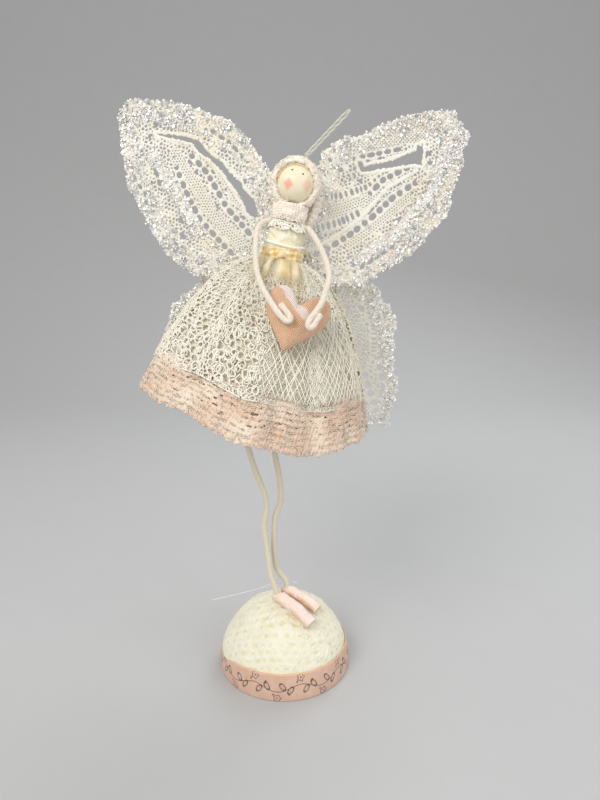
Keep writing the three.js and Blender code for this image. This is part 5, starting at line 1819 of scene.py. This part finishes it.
WINGS = {
    "upper_left": {
        "side": -1, "span": 94.0, "rise": 86.0, "slope": 0.0, "set": 0.0,
        "outline": [
            (0.01, 0.20), (0.07, 0.24), (0.07, 0.51), (0.13, 0.60), (0.21, 0.72), (0.32, 0.84),
            (0.41, 0.88), (0.53, 0.93), (0.65, 0.965), (0.78, 0.99), (0.95, 1), (1, 0.92),
            (1, 0.83), (0.99, 0.67), (0.97, 0.48), (0.91, 0.34), (0.82, 0.15), (0.76, 0.05),
            (0.67, -0.05), (0.55, -0.12), (0.46, -0.13), (0.31, -0.09), (0.15, -0.05), (0.01, 0),
        ],
        "slot": [
            (0.78, 0.79), (0.69, 0.78), (0.585, 0.76), (0.51, 0.735), (0.47, 0.675),
            (0.415, 0.625), (0.37, 0.595), (0.33, 0.535), (0.27, 0.48), (0.235, 0.415),
            (0.18, 0.35), (0.15, 0.245), (0.18, 0.25), (0.22, 0.27), (0.24, 0.325), (0.26, 0.36),
            (0.30, 0.43), (0.34, 0.485), (0.375, 0.545), (0.445, 0.615), (0.52, 0.67),
            (0.555, 0.725), (0.67, 0.755), (0.745, 0.775),
        ],
        "ridge": [(0.80, 0.65), (0.67, 0.42), (0.53, 0.16)],
        "rim": 13.0,
    },
    "upper_right": {
        "side": 1, "span": 106.0, "rise": 80.0, "slope": 0.0, "set": 0.0,
        "outline": [
            (0.01, 0.20), (0.08, 0.21), (0.15, 0.28), (0.16, 0.45), (0.18, 0.61), (0.20, 0.70),
            (0.245, 0.75), (0.33, 0.80), (0.415, 0.825), (0.51, 0.89), (0.65, 0.96), (0.79, 1),
            (0.90, 1), (0.95, 0.925), (1, 0.86), (0.97, 0.76), (0.97, 0.66), (0.94, 0.56),
            (0.915, 0.44), (0.905, 0.325), (0.83, 0.21), (0.765, 0.11), (0.69, 0.01),
            (0.585, -0.06), (0.49, -0.14), (0.43, -0.20), (0.25, -0.20), (0.11, -0.10), (0.01, 0),
        ],
        "slot": [
            (0.385, 0.65), (0.405, 0.65), (0.425, 0.615), (0.47, 0.635), (0.575, 0.665),
            (0.64, 0.70), (0.705, 0.735), (0.71, 0.765), (0.745, 0.79), (0.745, 0.735),
            (0.74, 0.64), (0.69, 0.645), (0.575, 0.62), (0.415, 0.58), (0.395, 0.595),
        ],
        "ridge": [(0.88, 0.80), (0.80, 0.45), (0.60, 0.15), (0.40, -0.02)],
        "rim": 12.0,
    },
    "lower_right": {
        "side": 1, "span": 76.0, "rise": 119.0, "slope": LOWER_SLOPE, "set": LOWER_SET,
        "outline": [
            (0.01, 0.033), (0.13, 0.025), (0.26, -0.03), (0.43, -0.12), (0.66, -0.135),
            (0.78, -0.20), (0.84, -0.25), (0.895, -0.33), (0.91, -0.40), (0.91, -0.49),
            (0.93, -0.605), (0.97, -0.655), (1, -0.75), (0.92, -0.77), (0.99, -0.83),
            (0.96, -0.925), (0.95, -1), (0.855, -0.98), (0.76, -0.95), (0.66, -0.87),
            (0.53, -0.71), (0.37, -0.49), (0.18, -0.25), (0.01, -0.10),
        ],
        "slot": None,
        "ridge": [(0.72, -0.22), (0.85, -0.45), (0.90, -0.62)],
        "rim": 9.0,
    },
    "lower_left": {
        "side": -1, "span": 80.0, "rise": 80.0, "slope": LOWER_SLOPE, "set": LOWER_SET,
        "outline": [
            (0.01, 0.05), (0.12, 0.045), (0.25, -0.05), (0.56, -0.14), (0.61, -0.15),
            (0.74, -0.25), (0.89, -0.40), (0.99, -0.575), (1, -0.66), (0.97, -0.82),
            (0.875, -0.975), (0.70, -1), (0.55, -0.82), (0.35, -0.55), (0.15, -0.275),
            (0.01, -0.125),
        ],
        "slot": None,
        "ridge": [(0.70, -0.24), (0.88, -0.45), (0.92, -0.62)],
        "rim": 9.0,
    },
}
WING_BANDS = {
    "upper_left": [
        ("mesh", 1.7, (33, -4), (43, 5), (55, 20), (62, 35), (67, 50)),
        ("mesh", 3.7, (20, 2), (30.5, 11.5), (41.7, 24.5), (49.5, 38), (57, 48), (64, 59)),
        ("eyes", 2.3, (27, -2), (38, 9), (49, 21), (56.5, 36), (62, 50)),
        ("eyes", 2.3, (17, 9), (24, 17), (33, 27), (38, 36), (44, 46), (53, 56)),
        ("mesh", 1.8, (13, 13), (20, 22), (28.5, 32), (34, 41), (40, 50)),
        ("eyes", 1.9, (79, 20), (80.8, 31), (81.5, 36), (87, 43), (89, 52)),
        ("eyes", 2.0, (20, 50), (30, 61), (42, 69)),
    ],
    "upper_right": [
        ("net", 5.0, (34, 57), (48, 61), (66, 66), (80, 70)),
        ("eyes", 1.9, (38, 53), (50, 56), (66, 59.5)),
        ("mesh", 2.8, (35, 6), (48, 14), (60, 24), (73, 35)),
        ("mesh", 3.9, (20, 23), (34, 26.5), (45, 30.5), (53, 37)),
        ("ladder", 2.9, (10, 14), (30, 18.5), (44, 25)),
        ("ladder", 2.4, (20, 32), (32, 33.5), (47, 38.5), (56, 45)),
        ("fan", 2.6, (30, 41), (44, 46), (58, 50), (74, 56)),
        ("eyes", 2.5, (24, 4), (37, 12), (50, 22), (62, 33), (76, 42)),
        ("eyes", 2.3, (48, 34.5), (56, 42.5), (70, 49.5)),
        ("rib", 0.95, (12, 2), (29.2, 11.4), (43.5, 21.5), (58.4, 38.3), (76.4, 48.6)),
        ("eyes", 2.1, (40, -9), (55, 0.5), (66, 9)),
    ],
    "lower_right": [
        ("windows", 3.3, (57, -20), (64, -38), (65, -60)),
        ("windows", 3.2, (60, -64), (66, -84), (69, -104)),
        ("ladder", 2.8, (47, -20), (56, -44), (57, -64)),
        ("windows", 3.0, (49, -70), (57, -90), (63, -108)),
        ("fan", 3.6, (34, -18), (47, -46), (51, -68)),
        ("mesh", 3.2, (24, -20), (40, -52), (48, -80)),
    ],
    "lower_left": [
        ("windows", 2.9, (40, -12), (57, -27), (69, -48)),
        ("ladder", 2.5, (33, -14), (49, -32), (62, -55)),
        ("windows", 2.8, (46, -42), (58, -58), (66, -72)),
        ("mesh", 3.2, (22, -16), (40, -38), (50, -55)),
    ],
}


def wing_noise(x, y, size, seed):
    """Soft noise over a wing, moved so that the whole wing lies on one table."""
    return soft_noise(x + 90, y + 200, size, seed)


def wing_frame(facts, out, up, lift):
    """Points of a wing from its own out and up, lifted off its front face."""
    side = facts["side"]
    y = facts["set"] + 0.4 + WING_SWEEP * out - facts["slope"] * up
    bow = 0.7 * soft_noise(out + 200, up + 200, 16, 120 + side)
    return WING_ROOT + np.stack([side * out, y + bow - lift, up], -1)


def band_pattern(kind, half, along, away, x, y):
    """One band of the lace: above 0 on thread."""
    if kind == "rib":
        return 0.8 - 0.2 * away
    if kind == "mesh":
        pitch, gap, hole = 1.75, 1.45, 0.52
        row = np.round(away / gap)
        local = ((along / pitch + 0.5 * (row % 2) + 0.5) % 1.0 - 0.5) * pitch
        return (np.hypot(local, away - row * gap) - hole) * 1.3
    if kind == "net":
        return 0.38 - np.minimum(
            np.abs((x + y) % 2.1 - 1.05), np.abs((x - y + 0.3 * np.sin(y)) % 2.1 - 1.05)
        ) * 1.1
    if kind == "fan":
        slant = np.minimum(np.abs((along + 0.9 * away) % 2.6 - 1.3),
                           np.abs((along - 0.7 * away + 0.9) % 3.4 - 1.7))
        return 0.36 - slant
    long, short, pitch = {
        "eyes": (2.2, 1.75, 5.3), "ladder": (1.0, 2.3, 3.0), "windows": (3.2, 2.9, 8.0),
    }[kind]
    cell = np.round(along / pitch)
    size = 1 + 0.2 * np.sin(cell * 2.3 + half * 5)
    local = along - cell * pitch + 0.5 * np.sin(cell * 5.1)
    short = short * half / (2.35 if kind == "eyes" else 2.75)
    return np.minimum((np.hypot(local / (long * size), away / short) - 1.0) * 1.4, 0.9)


def wing_lace(name, x, y, seed):
    """The lace pattern: above 0 on thread. Also how crusted the place is, and how open."""
    facts = WINGS[name]
    scale = np.array([facts["span"], facts["rise"]])
    edge = outline_distance(x, y, np.array(facts["outline"]) * scale)
    edge = edge + wing_noise(x, y, 1.4, seed)
    if name.startswith("lower"):
        edge = edge + 2.0 * wing_noise(x, y, 3.4, seed + 8)
    crust = np.clip((facts["rim"] - edge) / 4.0, 0, 1)
    trim = edge
    if facts["slot"]:
        slot = -outline_distance(x, y, np.array(facts["slot"]) * scale)
        trim = np.minimum(edge, slot + 0.5 * wing_noise(x, y, 1.2, seed + 1))
    ridge, _ = line_distance(x, y, np.array(facts["ridge"]) * scale)
    crust = np.maximum(crust, np.clip((3.4 - ridge) / 2.0, 0, 1))
    coarse = 1.7 if name.startswith("lower") else 1.0
    ground, mark = holes(x + 0.6 * y, y - 0.4 * x, 2.6 * coarse, 2.3 * coarse, 0.72 * coarse,
                         0.46, 0.32, seed + 2)
    wide, wide_mark = holes(x, y, 6.0, 5.2, 2.3, 0.40, 0.30, seed + 3)
    ground = np.where(wide_mark > 0.72, np.minimum(ground, wide), ground)
    ground = ground + 0.5 * np.clip(wing_noise(x, y, 4, seed + 6) - 0.1, 0, 1)
    pattern = ground + crust * (0.85 - 0.5 * mark)
    opened = np.zeros(x.shape)
    for kind, half, *line in WING_BANDS[name]:
        away, along = line_distance(x, y, line)
        length = sum(math.dist(a, b) for a, b in zip(line[:-1], line[1:]))
        wave = half * (1 + 0.12 * soft_noise(along, away * 0, 5, seed + 7))
        inside = (away < wave) & (along > 0.01) & (along < length - 0.01) & (edge > 3.2)
        band = band_pattern(kind, half, along, away, x, y)
        band = np.maximum(band, 0.42 - (wave - away))
        pattern = np.where(inside, band + 0.2 * crust, pattern)
        opened = np.where(inside, 1.0, opened)
    if name.startswith("lower"):
        pattern = pattern + 0.28
    selvage = 1.0 - np.abs(trim - 0.8)
    return np.minimum(trim, np.maximum(pattern, selvage)), crust, opened


def make_wing(name, seed):
    """One wing: stiffened lace with fine mesh, eyelets, ladders and net, crusted at the rim."""
    facts = WINGS[name]
    scale = np.array([facts["span"], facts["rise"]])
    outline = np.array(facts["outline"]) * scale
    step = 0.45
    outs = np.arange(0.3, outline[:, 0].max() + 1.5, step)
    ups = np.arange(outline[:, 1].min() - 1.2, outline[:, 1].max() + 1.5, step)
    x, y = lattice(outs, ups)
    level, _, _ = wing_lace(name, x, y, seed)
    points, faces, height = cut_sheet(level, outs, ups)
    out, up = points[:, 0], points[:, 1]
    _, crust, opened = wing_lace(name, out, up, seed)
    grain = wing_noise(out, up, 0.9, seed + 4)
    relief = 0.6 * grain * crust + np.minimum(height, 0.6) * 0.5
    placed = wing_frame(facts, out, up, relief)
    shade = np.clip(0.5 + 0.5 * np.minimum(height, 0.8) + 0.6 * grain * crust, 0, 1)
    tint = np.clip(0.6 * wing_noise(out, up, 11, seed + 5) + 0.1, 0, 0.9)
    if name.startswith("lower"):
        shade, tint = 0.4 + 0.6 * shade, tint * 0.4
    if facts["side"] > 0:
        faces = faces[:, ::-1]
    wing = place_mesh(f"lace_{name}", placed, faces, "lace", shade, tint)
    solidify(wing, 0.45)
    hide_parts(f"wing_{name}")
    cut = enclosed_area(outline)
    if facts["slot"]:
        cut -= enclosed_area(np.array(facts["slot"]) * scale)
    return out, up, crust, opened


def make_flakes(name, spots, seed):
    """Flakes glued thickly over the rim, the ridge and the tip of a wing."""
    facts = WINGS[name]
    source = np.random.default_rng(seed)
    out, up, crust, opened = spots
    tip_out = np.clip(out / facts["span"], 0, 1)
    worth = (0.05 + crust) * (0.5 + 0.6 * tip_out) * (1 - 0.75 * opened)
    worth = worth * np.clip(0.75 + 0.7 * wing_noise(out, up, 6, seed + 1), 0.08, 2)
    line = np.array(facts["ridge"]) * (facts["span"], facts["rise"])
    ridge = np.exp(-(line_distance(out, up, line)[0] / 2.6) ** 2)
    worth = worth + 1.5 * ridge
    count = 6400 if name.startswith("upper") else 3000
    picked = source.choice(len(out), count, p=worth / worth.sum())
    u = out[picked] + source.normal(0, 0.3, count)
    v = up[picked] + source.normal(0, 0.3, count)
    behind = source.random(count) < 0.22
    lift = np.where(behind, -0.75 - 0.4 * source.random(count), 0.7 + 0.9 * source.random(count))
    centre = wing_frame(facts, u, v, lift)
    facing = unit(np.array([0, -1.0, 0]) + source.normal(0, 0.5, (count, 3)))
    side = unit(np.cross(facing, source.normal(size=(count, 3))))
    across = np.cross(facing, side)
    size = source.uniform(0.28, 0.62, count)
    size = np.where(source.random(count) < 0.16, source.uniform(0.65, 1.05, count), size)
    size = size * (1.55 if name.startswith("lower") else 1 + 0.95 * ridge[picked])
    corners = 6
    angle = angles(corners)[None, :, None]
    points = centre[:, None] + size[:, None, None] * (
        np.cos(angle) * side[:, None] + np.sin(angle) * across[:, None]
    )
    faces = (np.arange(count)[:, None] * corners + np.arange(corners)).tolist()
    shade = np.repeat(source.random(count), corners)
    tint = np.repeat((source.random(count) < 0.12) * 0.7, corners)
    shade = np.maximum(shade, np.repeat(ridge[picked], corners))
    if name.startswith("lower"):
        shade, tint = 0.3 + 0.7 * shade, tint * 0.3
    flakes = place_mesh(f"flakes_{name}", points, faces, "flakes", shade, tint)
    flakes.data.polygons.foreach_set("use_smooth", np.zeros(count, bool))


def make_wing_fuzz(name, spots, seed):
    """Frayed threads along the wing's edge."""
    facts = WINGS[name]
    source = np.random.default_rng(seed)
    out, up, crust, _ = spots
    worth = crust**3 + 0.03
    count = 2400
    picked = source.choice(len(out), count, p=worth / worth.sum())
    roots = wing_frame(facts, out[picked], up[picked], 0.2)
    normals = unit(source.normal(size=(count, 3)) * (1, 0.5, 1) + (0, -0.4, 0))
    fluff(f"frayed_{name}", roots, normals, (1.8, 0.09, 0.6, seed), "lace", 0.9)


# ---- The object ----

set_stage()
make_cover()
make_ribbon()
for side, leg_seed, arm_seed in (("left", 201, 203), ("right", 202, 204)):
    make_shoe(side)
    make_leg(side, leg_seed)
    round_cord(f"arm_{side}_yarn", arm_route(side), ARM_RADIUS, f"arm_{side}_cord", arm_seed)
make_ankle_tie()
make_torso()
make_bodice()
make_piping()
make_frill()
make_sash()
make_sash_knot()
make_sash_panel()
make_lining()
make_skirt_net()
make_border()
make_head()
make_hair()
make_hood()
make_scarf()
make_loop()
make_loop_knot()
make_loop_root()
make_heart()
WING_SEEDS = {"upper_left": 301, "upper_right": 331, "lower_right": 361, "lower_left": 391}
for name, seed in WING_SEEDS.items():
    spots = make_wing(name, seed)
    make_flakes(name, spots, seed + 10)
    make_wing_fuzz(name, spots, seed + 20)

KEPT = {
    "base_core": "foam", "neck_peg": "head", "leg_left_wire": "steel", "leg_right_wire": "steel",
    "arm_left_wire": "steel", "arm_right_wire": "steel",
}
for node, finish in KEPT.items():
    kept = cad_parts[node]
    kept.data.materials.clear()
    kept.data.materials.append(FINISH[finish])

{"cad": cad_box, "visual": [list(corner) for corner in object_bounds()]}
